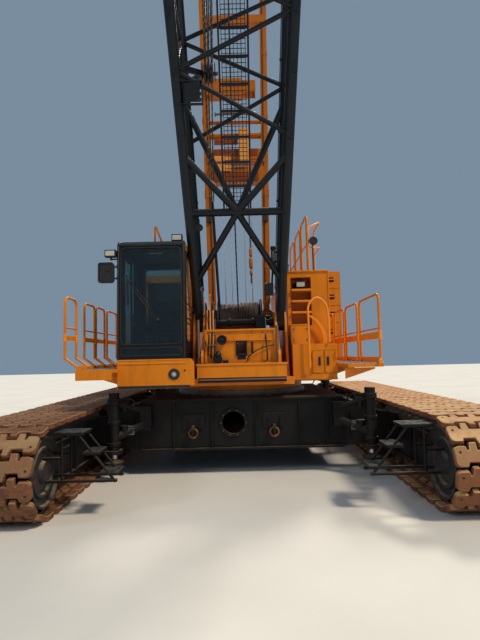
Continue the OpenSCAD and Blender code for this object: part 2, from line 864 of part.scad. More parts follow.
// Work lamps: boxes with their lens to the front, each on a bracket
module lamps() {
    // x, y and z of each lamp's centre
    lamp_l = [cab_x0 - 110, cab_y + 50, cab_top - 210];
    lamp_r = [cab_x - 150, cab_y + 300, cab_top + 100];
    lamp_house = [house_x + 260, house_y + 60, house_z - 260];
    color(rubber) {
        for (p = [lamp_l, lamp_r, lamp_house])
            block([p[0] - 93, p[1] - 60, p[2] - 60], [p[0] + 93, p[1] + 60, p[2] + 60]);
        translate([lamp_l[0], lamp_l[1] + 10, lamp_l[2] - 110]) cylinder(h = 100, r = 16);
        rod_x(lamp_l[0], cab_x0, lamp_l[1] + 30, lamp_l[2] - 90, 13);
        translate([lamp_r[0], lamp_r[1], cab_top]) cylinder(h = 100, r = 16);
        translate(lamp_house) cylinder(h = 140, r = 16);
    }
}

// Walks, rails and weights

module catwalks() {
    color(orange) {
        block([house_x1, -2600, walk_z - walk_t], [walk_xr, 3500, walk_z]);
        block([walk_xl, walk_y0, walk_z - walk_t], [cab_x0, 3500, walk_z]);
        // Fascia round the walk's outer and front edges
        block([walk_xl, walk_y0, walk_z - fascia_h], [walk_xl + 30, 3500, walk_z - walk_t + cut]);
        block([walk_xl, walk_y0, walk_z - fascia_h], [cab_x0, walk_y0 + 30, walk_z - walk_t + cut]);
        block([cab_x0 - cut, cab_y + cab_l + run_gap, walk_z - walk_t], [tank_x, 3500, walk_z]);
    }
}

// One loop of handrail in the Y-Z plane at x, from y0 to y1, standing on z
module rail_loop(x, y0, y1, z, h) {
    r = 2.5 * rail_d;
    for (y = [y0, y1]) translate([x, y, z]) cylinder(h = h - r, d = rail_d);
    tube([x, y0 + r, z + h], [x, y1 - r, z + h], rail_d);
    translate([x, y0 + r, z + h - r]) rotate([90, 0, 90])
        rotate_extrude(start = 90, angle = 90) translate([r, 0]) circle(d = rail_d);
    translate([x, y1 - r, z + h - r]) rotate([90, 0, 90])
        rotate_extrude(angle = 90) translate([r, 0]) circle(d = rail_d);
    tube([x, y0, z + h * 0.5], [x, y1, z + h * 0.5], rail_d * 0.7);
}

// Loop outside the left walk, whose feet bend inward to pads on its edge
module bent_loop(y0, y1) {
    x = walk_xl - rail_out;
    z = walk_z + bend_rise;
    rail_loop(x, y0, y1, z, rail_h + 50 - bend_rise);
    for (y = [y0, y1]) {
        translate([x, y, z]) sphere(d = rail_d + 6);
        tube([x, y, z], [walk_xl + 45, y, walk_z + 24], rail_d - 2);
        block([walk_xl + 5, y - 45, walk_z], [walk_xl + 100, y + 45, walk_z + 44]);
    }
    block([x - 4, y0, z + 290], [x + 4, y1, z + 370]);
}

module side_rails() {
    left_loops = [[-2680, -2160], [-1740, -1140], [-1050, -470], [-290, 480], [620, 1370],
        [1510, 2310], [2450, 3350]];
    right_loops = [[-2550, -1300], [-1100, -100], [100, 1100], [1300, 2300], [2500, 3400]];
    color(orange) {
        for (l = left_loops) bent_loop(l[0], l[1]);
        for (l = right_loops) rail_loop(walk_xr - rail_d / 2 - 5, l[0], l[1], walk_z, rail_h);
    }
}

module roof_rails() {
    loops = [[-1050, -200], [0, 900], [1100, 2000]];
    color(orange) for (l = loops) rail_loop(house_x + 430, l[0], l[1], house_z, rail_h);
    // Narrow rail that leans together over the cab's roof
    color(orange) for (x = [-1530, -1370]) {
        tube([x, cab_y + 600, cab_top + 10], [-1520 + (x + 1490) * 0.12, cab_y + 600,
            cab_top + 400], rail_d * 0.8);
        block([x - 40, cab_y + 560, cab_top], [x + 40, cab_y + 640, cab_top + 20]);
    }
}

module weight_tray() {
    color(orange) difference() {
        block([-weight_w / 2, weight_y, tray_z],
            [weight_w / 2, weight_y + weight_l, tray_z + tray_h]);
        // Recess for the tail of the frame
        block([-seat_x, weight_y - cut, tray_z - cut],
            [seat_x, frame_y1 + seat_gap, tray_z + tray_h + cut]);
    }
}

// Slabs on each side, with a groove round the stack at every joint
module weight_stacks() {
    z = tray_z + tray_h;
    color(orange) both_sides() for (i = [0:slab_count - 1]) {
        block([weight_w / 2 - stack_w, weight_y, z + i * slab_h + seam],
            [weight_w / 2, weight_y + weight_l, z + (i + 1) * slab_h - seam]);
        block([weight_w / 2 - stack_w + seam, weight_y + seam, z + i * slab_h],
            [weight_w / 2 - seam, weight_y + weight_l - seam, z + (i + 1) * slab_h]);
    }
    color(orange) both_sides() translate([(weight_w - stack_w) / 2 - eye_t / 2,
        weight_y + weight_l / 2, z + slab_count * slab_h - seam]) lifting_eye();
}

// Plate with a round bore that a shackle's pin goes through
module lifting_eye() {
    difference() {
        along_x(0, eye_t) {
            translate([0, eye_z]) circle(r = 90);
            polygon([[-150, -cut], [150, -cut], [90, eye_z], [-90, eye_z]]);
        }
        rod_x(-cut, eye_t + cut, 0, eye_z, eye_r);
    }
}

// Boom. Its own frame has Z along the boom and +Y towards the rear

module at_boom() {
    translate([0, boom_y, boom_z]) rotate([90 - boom_angle, 0, 0]) children();
}

// Distance between chords at s along the boom, across and in depth
function span_at(s) = s < foot_l ? foot_span + (boom_w - foot_span) * s / foot_l :
    s < foot_l + mid_l ? boom_w :
    boom_w + (head_w - boom_w) * (s - foot_l - mid_l) / head_l;
function depth_at(s) = s < foot_l ? foot_h + (boom_h - foot_h) * s / foot_l :
    s < foot_l + mid_l ? boom_h :
    boom_h + (head_h - boom_h) * (s - foot_l - mid_l) / head_l;
// Corner of the boom at s: side is -1 or 1, face is -1 in front and 1 behind
function corner(s, side, face) = [side * span_at(s) / 2, face * depth_at(s) / 2, s];

module chords(s0, s1) {
    for (side = [-1, 1], face = [-1, 1])
        tube(corner(s0, side, face), corner(s1, side, face), chord_d);
}

// Zigzag lacing on all four faces between the panel points
module lacing(points, d) {
    last = len(points) - 2;
    for (i = [0:last]) {
        a = points[i];
        b = points[i + 1];
        z = i % 2 == 0 ? 1 : -1;
        for (f = [-1, 1]) tube(corner(a, -z * f, f), corner(b, z * f, f), d);
        for (side = [-1, 1]) tube(corner(a, side, -z * side), corner(b, side, z * side), d);
    }
}

// Panel points from a to b in n steps
function panels(a, b, n) = [for (i = [0:n]) a + (b - a) * i / n];

module end_frame(s, d) {
    for (f = [-1, 1]) {
        tube(corner(s, -1, f), corner(s, 1, f), d);
        tube(corner(s, f, -1), corner(s, f, 1), d);
    }
}

module boom_foot() {
    color(boom_black) at_boom() difference() {
        union() {
            chords(260, foot_l - end_gap);
            end_frame(bar_s, bar_d);
            end_frame(foot_l - 110, frame_d);
            // Heavy braces from the crossbar's centre to the chords, on both faces
            for (f = [-1, 1], side = [-1, 1]) {
                mid = [0, f * depth_at(bar_s) / 2, bar_s];
                tube(mid, corner(820, side, f), brace_d);
                tube(mid, corner(f < 0 ? 3050 : 4050, side, f), brace_d);
            }
            lacing(concat(foot_panels, [foot_l - 270]), lace_d);
            for (side = [-1, 1]) {
                tube(corner(900, side, -1), corner(bar_s - 150, side, 1), lace_d);
                // Foot: side plate that joins both chords, and its eye
                translate([side * foot_span / 2 - boom_eye_w / 2, 0, 0])
                    rotate([90, 0, 90]) linear_extrude(height = boom_eye_w) {
                        circle(r = 170);
                        polygon([[-150, 0], [150, 0], [foot_h / 2 + 130, 700],
                            [-foot_h / 2 - 130, 700]]);
                    }
            }
        }
        rod_x(-1200, 1200, 0, 0, pin_d / 2 + fit);
    }
}

module boom_middle() {
    s0 = foot_l;
    s1 = foot_l + mid_l;
    color(boom_black) at_boom() {
        chords(s0, s1);
        for (s = [s0 + 110, s1 - 110]) end_frame(s, frame_d);
        lacing([s0 + 260, s0 + 1050, s0 + 2010, s1 - 260], lace_d);
    }
}

module boom_head() {
    s0 = foot_l + mid_l;
    s1 = boom_l;
    color(boom_black) at_boom() {
        chords(s0 + end_gap, s1);
        end_frame(s0 + 110, frame_d);
        lacing(panels(s0 + 270, s1 - 780, 6), lace_d);
        // Head plates that carry the sheaves
        for (x = [-1, 1]) along_x(x * head_w / 2 - 30, 60) polygon([
            [-head_h / 2 - 60, s1 - 560], [0, s1 - 700], [head_h / 2 + 60, s1 - 590],
            [lug_y + 100, s1 - 420], [lug_y + 100, s1 - 80], [head_h / 2 + 120, s1 + 160],
            [-tip_off - 160, s1 + 160],
            [-tip_off - 160, s1 - 160]]);
        rod_x(-head_w / 2, head_w / 2, 0, s1 - 480, 60);
        // Stubs that the pendants hang on
        for (x = [-1, 1]) rod_x(x * head_w / 2 - stub_l, x * head_w / 2 + stub_l,
            lug_y, pendant_s, stub_r);
    }
}

module boom_walkway() {
    ends = [bar_s - 40, foot_l, foot_l + mid_l, boom_l - 1600];
    off = bar_d / 2 + 1;
    // Side view of a stringer, which follows the boom's front face
    front = [for (e = ends) [-depth_at(e) / 2 + off, e]];
    back = [for (i = [3:-1:0]) front[i] + [50, 0]];
    color(steel) at_boom() {
        for (x = [-walk_w / 2, walk_w / 2 - 30]) along_x(x, 30) polygon(concat(front, back));
        for (s = [ends[0] + 60 : rung_step : ends[3] - 50])
            translate([-walk_w / 2 + 10, -depth_at(s) / 2 + off + 10, s])
                cube([walk_w - 20, 24, 40]);
    }
}

module head_sheaves() {
    color(steel) at_boom() {
        rod_x(-head_w / 2 + 30, head_w / 2 - 30, -tip_off, boom_l, 60);
        for (x = sheave_xs) rod_x(x - 40, x + 40, -tip_off, boom_l, sheave_r);
    }
}

// Hanging gear. Its ropes hang plumb from the head sheaves
module at_tip() {
    at_boom() translate([0, -tip_off, boom_l]) rotate([boom_angle - 90, 0, 0]) children();
}

module hoist_falls() {
    color(steel) at_tip() for (x = sheave_xs, y = [-1, 1])
        translate([x, y * (sheave_r + rope_d / 2 + seat_gap), -fall_l])
            cylinder(h = fall_l, d = rope_d);
}

module hook_block() {
    r = sheave_r;
    color(orange) at_tip() translate([0, 0, -fall_l]) {
        // Cheek plates, closed below round the crosshead
        for (x = [-block_w / 2, block_w / 2 - 40]) along_x(x, 40) polygon([
            [-r * 0.75, 200], [r * 0.75, 200], [r * 1.1, -60], [r * 0.9, -560],
            [r * 0.4, -800], [-r * 0.4, -800], [-r * 0.9, -560], [-r * 1.1, -60]]);
        difference() {
            block([-block_w / 2 + 20, -130, -780], [block_w / 2 - 20, 130, -620]);
            translate([0, 0, -900]) cylinder(h = 400, r = shank_r + fit);
        }
        rod_x(-block_w / 2, block_w / 2, 0, 0, 55);
        for (x = sheave_xs) rod_x(x - 36, x + 36, 0, 0, r);
    }
}

// Hook with its shank in the crosshead and a nut above it
module hook() {
    color(boom_black) at_tip() translate([0, 0, -fall_l]) {
        translate([0, 0, -960]) cylinder(h = 960 - 560, r = shank_r);
        translate([0, 0, -620 + seat_gap]) cylinder(h = 70, r = 100);
        translate([0, 0, -1130]) rotate([90, 90, 0])
            rotate_extrude(start = 180, angle = 250) translate([190, 0]) circle(d = 115);
        translate([0, 0, -1010]) cylinder(h = 150, r1 = 95, r2 = shank_r);
    }
}

// Mast. Its own frame has Z along the mast and +Y towards the rear

module at_mast() {
    translate([0, mast_y, mast_z]) rotate([90 - mast_angle, 0, 0]) children();
}

function leg_x(s) = (leg_span + (head_span - leg_span) * s / mast_l) / 2;

module mast() {
    lean = atan((head_span - leg_span) / 2 / mast_l);
    // Cross members: distance from the foot, height, depth, and where the right end is
    members = [[3150, 380, 220, 0.98], [3650, 320, 220, 0.98], [5350, 420, 260, 0.25],
        [7300, 200, 200, 0.98], [8780, 260, 260, 0.98]];
    color(orange) at_mast() difference() {
        union() {
            both_sides() translate([leg_span / 2, 0, 0]) rotate([0, lean, 0])
                translate([-leg_w / 2, -leg_w / 2, leg_s])
                    cube([leg_w, leg_w, mast_l - leg_s]);
            both_sides() translate([leg_span / 2 - mast_eye_w / 2, 0, 0])
                rotate([90, 0, 90]) linear_extrude(height = mast_eye_w) {
                    circle(r = 150);
                    translate([-leg_w / 2 + 10, 0]) square([leg_w - 20, leg_s + 60]);
                }
            for (m = members) block([-leg_x(m[0]), -m[2] / 2, m[0]],
                [m[3] * leg_x(m[0]), m[2] / 2, m[0] + m[1]]);
            block([100, -150, 3800], [260, 150, 4480]);
            // Cross tubes: distance from the foot and diameter
            for (t = [[4350, 140], [4700, 90]])
                tube([-leg_x(t[0]), 0, t[0]], [leg_x(t[0]), 0, t[0]], t[1]);
            // Plates that carry the head sheaves and the pendants
            both_sides() along_x(head_plate_x, 40) polygon([
                [-leg_w / 2 + 20, mast_l - 620], [leg_w / 2 - 20, mast_l - 620],
                [axle_y + 130, mast_axle_z - 130], [axle_y + 130, mast_axle_z + 100],
                [0, mast_l + 110], [lug_off - 100, mast_l + 110],
                [lug_off - 100, mast_l - 120]]);
        }
        rod_x(-1200, 1200, 0, 0, pin_d / 2 + fit);
    }
}

module mast_sheaves() {
    color(steel) at_mast() {
        rod_x(-head_plate_x, head_plate_x, axle_y, mast_axle_z, 50);
        for (x = [-400, -200, 200, 400])
            rod_x(x - 35, x + 35, axle_y, mast_axle_z, 260);
    }
}

// Place in Y and Z of a point [y, z] of a frame that leans at the angle a from the foot
function leaned(foot, a, p) = [foot[0] + p[0] * sin(a) - p[1] * cos(a),
    foot[1] + p[0] * cos(a) + p[1] * sin(a)];

module pendants() {
    p = leaned([boom_y, boom_z], boom_angle, [lug_y, pendant_s]);
    q = leaned([mast_y, mast_z], mast_angle, [lug_off, mast_l]);
    eye_x = head_w / 2 + 30 + run_gap + eye_w / 2;
    end_x = (head_span - leg_w) / 2 - run_gap - eye_w / 2;
    color(steel) for (s = [-1, 1]) difference() {
        union() {
            tube([s * eye_x, p[0], p[1]], [s * end_x, q[0], q[1]], 45);
            rod_x(s * eye_x - eye_w / 2, s * eye_x + eye_w / 2, p[0], p[1], 85);
            rod_x(s * end_x - eye_w / 2, s * end_x + eye_w / 2, q[0], q[1], 70);
        }
        rod_x(s * eye_x - eye_w, s * eye_x + eye_w, p[0], p[1], stub_r + fit);
    }
}

carbody();
slew_ring();
side_frames();
track_left();
track_right();
idlers();
sprockets();
rollers();
steps();
jacks();
tow_lugs();
upper_frame();
foot_pins();
front_beam();
winches();
hoist_gantry();
engine();
machine_house();
side_door_1();
side_door_2();
side_door_3();
locker_box();
locker_door_1();
locker_door_2();
front_steps();
exhaust();
tank_house();
cab_base();
cab_shell();
cab_glass();
cab_door();
cab_door_glass();
seat();
console();
cab_mirror();
lamps();
catwalks();
side_rails();
roof_rails();
weight_tray();
weight_stacks();
boom_foot();
boom_middle();
boom_head();
boom_walkway();
head_sheaves();
hoist_falls();
hook_block();
hook();
mast();
mast_sheaves();
pendants();
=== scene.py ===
"""Finishes and small parts of a crawler crane, built round its CAD frame.

Metres, in the frame's axes: +Z up, -Y the crane's front, +X its left side,
which is the right of a view from the front.
"""

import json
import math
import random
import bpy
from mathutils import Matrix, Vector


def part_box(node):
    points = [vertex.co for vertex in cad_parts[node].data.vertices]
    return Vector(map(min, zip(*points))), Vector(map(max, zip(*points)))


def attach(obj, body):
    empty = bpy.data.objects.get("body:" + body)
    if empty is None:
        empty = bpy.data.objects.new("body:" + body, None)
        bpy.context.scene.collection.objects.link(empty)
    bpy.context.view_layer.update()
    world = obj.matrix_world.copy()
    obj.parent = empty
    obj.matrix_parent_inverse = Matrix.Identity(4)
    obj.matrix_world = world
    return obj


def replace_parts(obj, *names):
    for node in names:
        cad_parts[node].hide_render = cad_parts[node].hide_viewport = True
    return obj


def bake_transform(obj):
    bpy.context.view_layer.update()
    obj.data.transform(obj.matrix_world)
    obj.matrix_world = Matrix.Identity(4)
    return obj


bl_info = {
    "name": "Crawler crane finishes",
    "version": (1, 0, 0),
    "blender": (4, 5, 0),
    "location": "View3D > Sidebar > Crane",
    "description": "Paint, steel, ropes, rails and fittings of a lattice-boom crawler crane",
    "category": "Object",
}

from functools import partial

import bmesh
import bpy
from bpy.props import FloatProperty, FloatVectorProperty, IntProperty, PointerProperty
from mathutils import Matrix, Vector

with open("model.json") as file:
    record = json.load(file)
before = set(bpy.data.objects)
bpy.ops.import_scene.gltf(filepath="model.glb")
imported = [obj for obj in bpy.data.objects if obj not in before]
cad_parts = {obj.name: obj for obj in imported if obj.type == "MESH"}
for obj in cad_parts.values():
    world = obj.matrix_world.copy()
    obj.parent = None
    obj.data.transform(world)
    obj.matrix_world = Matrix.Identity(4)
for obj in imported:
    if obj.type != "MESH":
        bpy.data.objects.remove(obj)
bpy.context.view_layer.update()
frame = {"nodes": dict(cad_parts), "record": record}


# Places that several pieces share

UP, X, Y = Vector((0, 0, 1)), Vector((1, 0, 0)), Vector((0, 1, 0))
SIDES = (("right", -1), ("left", 1))
ENDS = (-1, 1)
ROUND = ((-1, -1), (1, -1), (1, 1), (-1, 1))
GAUGE, SHOE_W, SHOES = 6.3, 1.2, 64
TRACK_R, TRACK_A = 0.625, 3.975
TRACK_LAP = 4 * TRACK_A + 2 * math.pi * TRACK_R
CARBODY, ARM_Y = 1.8, 1.25
PORT_X, PORT_Z, TOW_XS = -0.16, 0.906, (-0.87, 0.56)
BOOM_PIN, BOOM_ANGLE = Vector((0, -1.2, 2.73)), math.radians(72)
BOOM_LENGTHS = (7.6, 3.05, 7.35)
BOOM_JOINTS = (BOOM_LENGTHS[0], BOOM_LENGTHS[0] + BOOM_LENGTHS[1])
BOOM_SPANS = (1.55, 2.12, 2.12, 0.9)
BOOM_DEPTHS = (0.26, 1.95, 1.95, 0.64)
BOOM_L = sum(BOOM_LENGTHS)
TIP_OFF, SHEAVE_R = 0.76, 0.3
MAST_PIN, MAST_ANGLE, MAST_L = Vector((0, 0, 2.9)), math.radians(95), 9.5
MAST_SPANS, MAST_AXLE = (1.18, 1.56), (0.3, 9.3)
MAIN_DRUM, HOIST_DRUM = Vector((0, -0.44, 2.86)), Vector((0, 1.15, 2.18))
REAR_DRUM = Vector((0, 2.35, 2.14))
GANTRY_AXLE, GANTRY_XS = Vector((0, 4.1, 2.35)), (-0.4, -0.2, 0.2, 0.4)
PANEL_Y = -1.89
HOUSE_X, HOUSE_Y, HOUSE_TOP = (0.95, 1.75), (-1.15, 3.5), 3.72
CAB_X, CAB_Y = (-2.08, -0.93), (-2.4, -0.7)
CAB_FOOT, CAB_TOP = 2.07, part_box("cab_shell")[1].z
LAMPS = ((-2.19, -2.35, CAB_TOP - 0.21), (-1.08, -2.1, CAB_TOP + 0.1), (1.21, -1.09, 3.46))
MIRROR = (Vector((-2.41, -2.36, 3.39)), Vector((-2.14, -2.3, 3.74)))
WALK_Z, LEFT_RAIL_X, RIGHT_RAIL_X = 1.92, -2.85, 2.3025
LEFT_LOOPS = ((-2.68, -2.16), (-1.74, -1.14), (-1.05, -0.47), (-0.29, 0.48), (0.62, 1.37),
              (1.51, 2.31), (2.45, 3.35))
RIGHT_LOOPS = ((-2.55, -1.3), (-1.1, -0.1), (0.1, 1.1), (1.3, 2.3), (2.5, 3.4))
WEIGHT_Y, WEIGHT_Z, SLAB = (3.75, 5.4), 1.96, 0.52
WALKWAY, MESH = (2.1, 16.35), 0.067
# Nodes whose finish on the photo isn't their slot's
OTHER_FINISHES = {
    # The boom's walkway takes black enamel in place of its zinc, painted shade
    "steps": "frame_black", "tow_lugs": "frame_black", "boom_walkway": "paint_black",
    # The right track and the mast take darker copies of their finishes, painted shade
    "track_right": "track_shade", "mast": "mast_enamel", "cab_shell": "cab_black",
    "cab_door": "cab_black"}


def leaning(foot, angle, x, back, along):
    """Point of a frame that leans over the ground at an angle, from its foot."""
    return foot + Vector((x, back * math.sin(angle) - along * math.cos(angle),
                          back * math.cos(angle) + along * math.sin(angle)))


on_boom = partial(leaning, BOOM_PIN, BOOM_ANGLE)
on_mast = partial(leaning, MAST_PIN, MAST_ANGLE)


def ways(place):
    """Unit vectors along a leaning frame and towards its back."""
    foot = place(0, 0, 0)
    return (place(0, 0, 1) - foot).normalized(), (place(0, 1, 0) - foot).normalized()


def stepped(values, along):
    """Value at a distance along the boom, between its section ends."""
    start = 0
    for k, length in enumerate(BOOM_LENGTHS):
        if along <= start + length or k == 2:
            return values[k] + (values[k + 1] - values[k]) * ((along - start) / length)
        start += length


def boom_corner(side, face, along):
    return on_boom(side * stepped(BOOM_SPANS, along) / 2,
                   face * stepped(BOOM_DEPTHS, along) / 2, along)


def mast_leg(side, along, back=0.0):
    half = (MAST_SPANS[0] + (MAST_SPANS[1] - MAST_SPANS[0]) * along / MAST_L) / 2
    return on_mast(side * half, back, along)


# Colours and sizes that a user may change

def srgb(code):
    """Linear RGBA of an sRGB hex value."""
    parts = [int(code[i:i + 2], 16) / 255 for i in (1, 3, 5)]
    return [p / 12.92 if p <= 0.04045 else ((p + 0.055) / 1.055) ** 2.4 for p in parts] + [1.0]


def toned(colour, times, plus=0.0):
    """A colour made lighter or darker, still opaque."""
    return [min(1.0, c * times + plus) for c in colour[:3]] + [1.0]


def paint_choice(name, words, code):
    return FloatVectorProperty(name=name, description=words, subtype="COLOR", size=4,
                               min=0, max=1, default=srgb(code))


def length_choice(name, words, value, low, high):
    return FloatProperty(name=name, description=words, default=value, min=low, max=high,
                         unit="LENGTH")


class CranePaint(bpy.types.PropertyGroup):
    """Colours of the crane's finishes."""
    orange: paint_choice("Orange", "Enamel of the upper works", "#D97C04")
    black: paint_choice("Black", "Enamel of the boom", "#0B131B")
    chassis: paint_choice("Chassis", "Primer-black of the undercarriage", "#0C0B0B")
    track: paint_choice("Track", "Dusty cast steel of the shoes", "#DDB07C")
    rust: paint_choice("Rust", "Rust of bare cast steel", "#7A4526")
    dust: paint_choice("Dust", "Quarry dust on level faces", "#C7AE86")
    zinc: paint_choice("Zinc", "Hot-dip galvanised steel", "#9DA1A2")
    rope: paint_choice("Rope", "Greased wire rope", "#4E4842")
    glass: paint_choice("Glass", "Tinted safety glass", "#A3BEC0")
    fabric: paint_choice("Fabric", "Woven seat cover", "#2B3038")
    floor: paint_choice("Floor", "Studio floor", "#ECE7DC")


class CraneSizes(bpy.types.PropertyGroup):
    """Sizes of the crane's small parts."""
    bolt: length_choice("Bolt", "Width across the flats of a frame bolt", 0.055, 0.02, 0.09)
    rope: length_choice("Rope", "Diameter of the hoist ropes", 0.028, 0.02, 0.036)
    windings: IntProperty(name="Windings", description="Turns of rope that show on the main drum",
                          default=26, min=10, max=32)
    eye: length_choice("Eye height", "Height of the camera over the ground", 2.1, 1.0, 3.0)
    distance: length_choice("Distance", "From the swing axis to the camera", 10.3, 8.0, 20.0)


# Materials. Patterns use object coordinates, which are metres here

def plug(node, inputs):
    """Links sockets or sets values on a node's inputs."""
    for key, value in inputs.items():
        if isinstance(value, bpy.types.NodeSocket):
            node.id_data.links.new(value, node.inputs[key])
        else:
            node.inputs[key].default_value = value


def add(tree, kind, inputs=None, output=0, **settings):
    """Adds a shader node with its settings and links, and gives one of its outputs."""
    node = tree.nodes.new("ShaderNode" + kind)
    for key, value in settings.items():
        setattr(node, key, value)
    plug(node, inputs or {})
    return node.outputs[output]


def new_material(name):
    """A material, the way to add nodes to it, its shader's inputs and its metre coordinates."""
    material = bpy.data.materials.new(name)
    material.use_nodes = True
    node = partial(add, material.node_tree)
    shader = partial(plug, material.node_tree.nodes["Principled BSDF"])
    return material, node, shader, node("TexCoord", output="Object")


def facing_up(node, low=0.35, high=0.95):
    """Share of a face that looks up, where dust settles."""
    split = node("SeparateXYZ", {0: node("NewGeometry", output="Normal")}, "Z")
    return node("MapRange", {0: split, 1: low, 2: high})


def sprayed_enamel(name, colour, dust, rust, fade=0.25, dirt=0.5, chips=0.62, rough=0.34,
                   settled=0.75):
    """Two-pack enamel sprayed on steel plate: a soft gloss that the sun has dulled in patches,
    with grime run down its walls, dust on level faces and chips down to rusty steel."""
    material, node, shader, metres = new_material(name)
    sun = node("TexNoise", {"Vector": metres, "Scale": 1000 / 900, "Detail": 2.0})
    faded = node("MapRange", {0: sun, 1: 0.35, 2: 0.7, 4: fade})
    base = node("MixRGB", {0: faded, 1: colour, 2: toned(colour, 1.35, 0.004)})
    # Rain draws grime down the walls, in cloudy runs about 140 mm wide
    runs = node("TexNoise", {
        "Vector": node("Mapping", {"Vector": metres, "Scale": (1, 1, 1 / 4)}),
        "Scale": 1000 / 140, "Detail": 5.0, "Roughness": 0.6})
    grime = node("MapRange", {0: runs, 1: 0.48, 2: 0.85, 4: dirt})
    base = node("MixRGB", {0: grime, 1: base, 2: toned(colour, 0.42)})
    patches = node("TexNoise", {"Vector": metres, "Scale": 1000 / 260, "Detail": 5.0,
                                "Roughness": 0.65})
    dusty = node("Math", {0: facing_up(node), 1: node("MapRange", {
        0: patches, 1: 0.3, 2: 0.72, 3: 0.05, 4: settled})}, operation="MULTIPLY")
    base = node("MixRGB", {0: dusty, 1: base, 2: dust})
    # Real chips are 3 to 8 mm, drawn at 25 mm so that they show
    flakes = node("TexNoise", {"Vector": metres, "Scale": 1000 / 25, "Detail": 6.0,
                               "Roughness": 0.75})
    chipped = node("Math", {0: node("MapRange", {0: flakes, 1: chips, 2: chips + 0.03}),
                            1: node("MapRange", {0: patches, 1: 0.5, 2: 0.62})},
                   operation="MULTIPLY")
    matt = node("Math", {0: dusty, 1: 0.4}, operation="MULTIPLY")
    dull = node("Math", {0: node("MapRange", {
        0: patches, 1: 0.3, 2: 0.7, 3: rough - 0.06, 4: rough + 0.14}), 1: matt},
        operation="ADD")
    # Orange peel of 2 mm is too fine here, so it is drawn at 14 mm, with slight plate waves
    peel = node("TexNoise", {"Vector": metres, "Scale": 1000 / 14, "Detail": 2.0})
    waves = node("Math", {0: node("Math", {0: peel, 1: 0.15}, operation="MULTIPLY"), 1: sun},
                 operation="ADD")
    pits = node("Math", {0: chipped, 1: -0.2}, operation="MULTIPLY")
    height = node("Math", {0: waves, 1: pits}, operation="ADD")
    shader({"Base Color": node("MixRGB", {0: chipped, 1: base, 2: rust}), "Roughness": dull,
            "Specular IOR Level": 0.28,
            "Normal": node("Bump", {"Height": height, "Distance": 3.0 / 1000,
                                    "Strength": 0.25})})
    return material


def cast_shoe_steel(name, dust, rust, worn=0.35):
    """Cast manganese steel, sand-cast and scoured by the ground: brown rust in the hollows, pale
    ground-in dust on the treads, painted shade on the level run on top and a coarse casting skin."""
    material, node, shader, metres = new_material(name)
    skin = node("TexNoise", {"Vector": metres, "Scale": 1000 / 30, "Detail": 6.0,
                             "Roughness": 0.7})
    clods = node("TexNoise", {"Vector": metres, "Scale": 1000 / 220, "Detail": 5.0,
                              "Roughness": 0.6})
    base = node("MixRGB", {0: node("MapRange", {0: skin, 1: 0.32, 2: 0.68}), 1: rust,
                           2: srgb("#8A5A38")})
    base = node("MixRGB", {0: node("MapRange", {0: clods, 1: 0.5, 2: 0.7, 4: 0.85}), 1: base,
                           2: srgb("#2B2019")})
    # Ground-in dust on slopes that look up; painted shade darkens the level run on top, where the
    # dust is cut down
    top = node("Math", {0: facing_up(node, 0.1, 0.7),
                        1: node("MapRange", {0: clods, 1: 0.3, 2: 0.6, 3: 0.45, 4: 1.0})},
               operation="MULTIPLY")
    top = node("Math", {0: top, 1: node("MapRange", {
        0: facing_up(node, 0.78, 0.95), 3: 1.0, 4: worn})}, operation="MULTIPLY")
    fine = node("Math", {0: skin, 1: 0.5}, operation="MULTIPLY")
    grain = node("Math", {0: fine, 1: clods}, operation="ADD")
    shader({"Base Color": node("MixRGB", {0: top, 1: base, 2: dust}),
            "Roughness": node("MapRange", {0: skin, 1: 0.3, 2: 0.7, 3: 0.72, 4: 0.95}),
            "Normal": node("Bump", {"Height": grain, "Distance": 14.0 / 1000,
                                    "Strength": 0.8})})
    return material


def machined_steel(name, code, rough, grain_mm=18):
    """Turned or drawn mild steel with an oil film: dull metal with fine rings and brown stains."""
    material, node, shader, metres = new_material(name)
    stains = node("TexNoise", {"Vector": metres, "Scale": 1000 / 120, "Detail": 5.0,
                               "Roughness": 0.7})
    # Tool marks under 1 mm apart are drawn at grain_mm
    marks = node("TexNoise", {
        "Vector": node("Mapping", {"Vector": metres, "Scale": (1 / 0.25, 1, 1)}),
        "Scale": 1000 / grain_mm, "Detail": 3.0})
    shader({"Base Color": node("MixRGB", {
                0: node("MapRange", {0: stains, 1: 0.45, 2: 0.75, 4: 0.55}),
                1: srgb(code), 2: srgb("#4A3424")}),
            "Metallic": 0.8,
            "Roughness": node("MapRange", {0: marks, 1: 0.3, 2: 0.7, 3: rough - 0.08,
                                           4: rough + 0.12}),
            "Normal": node("Bump", {"Height": marks, "Distance": 1.5 / 1000,
                                    "Strength": 0.4})})
    return material


def hot_dip_zinc(name, colour, dust):
    """Hot-dip galvanised steel, weathered: matt grey spangle, with dust trodden into it."""
    material, node, shader, metres = new_material(name)
    # Real spangle is 8 to 20 mm across, drawn at 40 mm
    spangle = node("TexVoronoi", {"Vector": metres, "Scale": 1000 / 40}, "Color")
    tone = node("SeparateColor", {0: spangle})
    base = node("MixRGB", {0: node("MapRange", {0: tone, 4: 0.35}), 1: colour,
                           2: srgb("#C4C8C8")})
    worn = node("TexNoise", {"Vector": metres, "Scale": 1000 / 150, "Detail": 5.0,
                             "Roughness": 0.65})
    dusty = node("Math", {0: facing_up(node), 1: node("MapRange", {
        0: worn, 1: 0.35, 2: 0.7, 3: 0.1, 4: 0.7})}, operation="MULTIPLY")
    shader({"Base Color": node("MixRGB", {0: dusty, 1: base, 2: dust}), "Metallic": 0.55,
            "Roughness": node("MapRange", {0: tone, 3: 0.42, 4: 0.6}),
            "Normal": node("Bump", {"Height": worn, "Distance": 2.0 / 1000,
                                    "Strength": 0.3})})
    return material


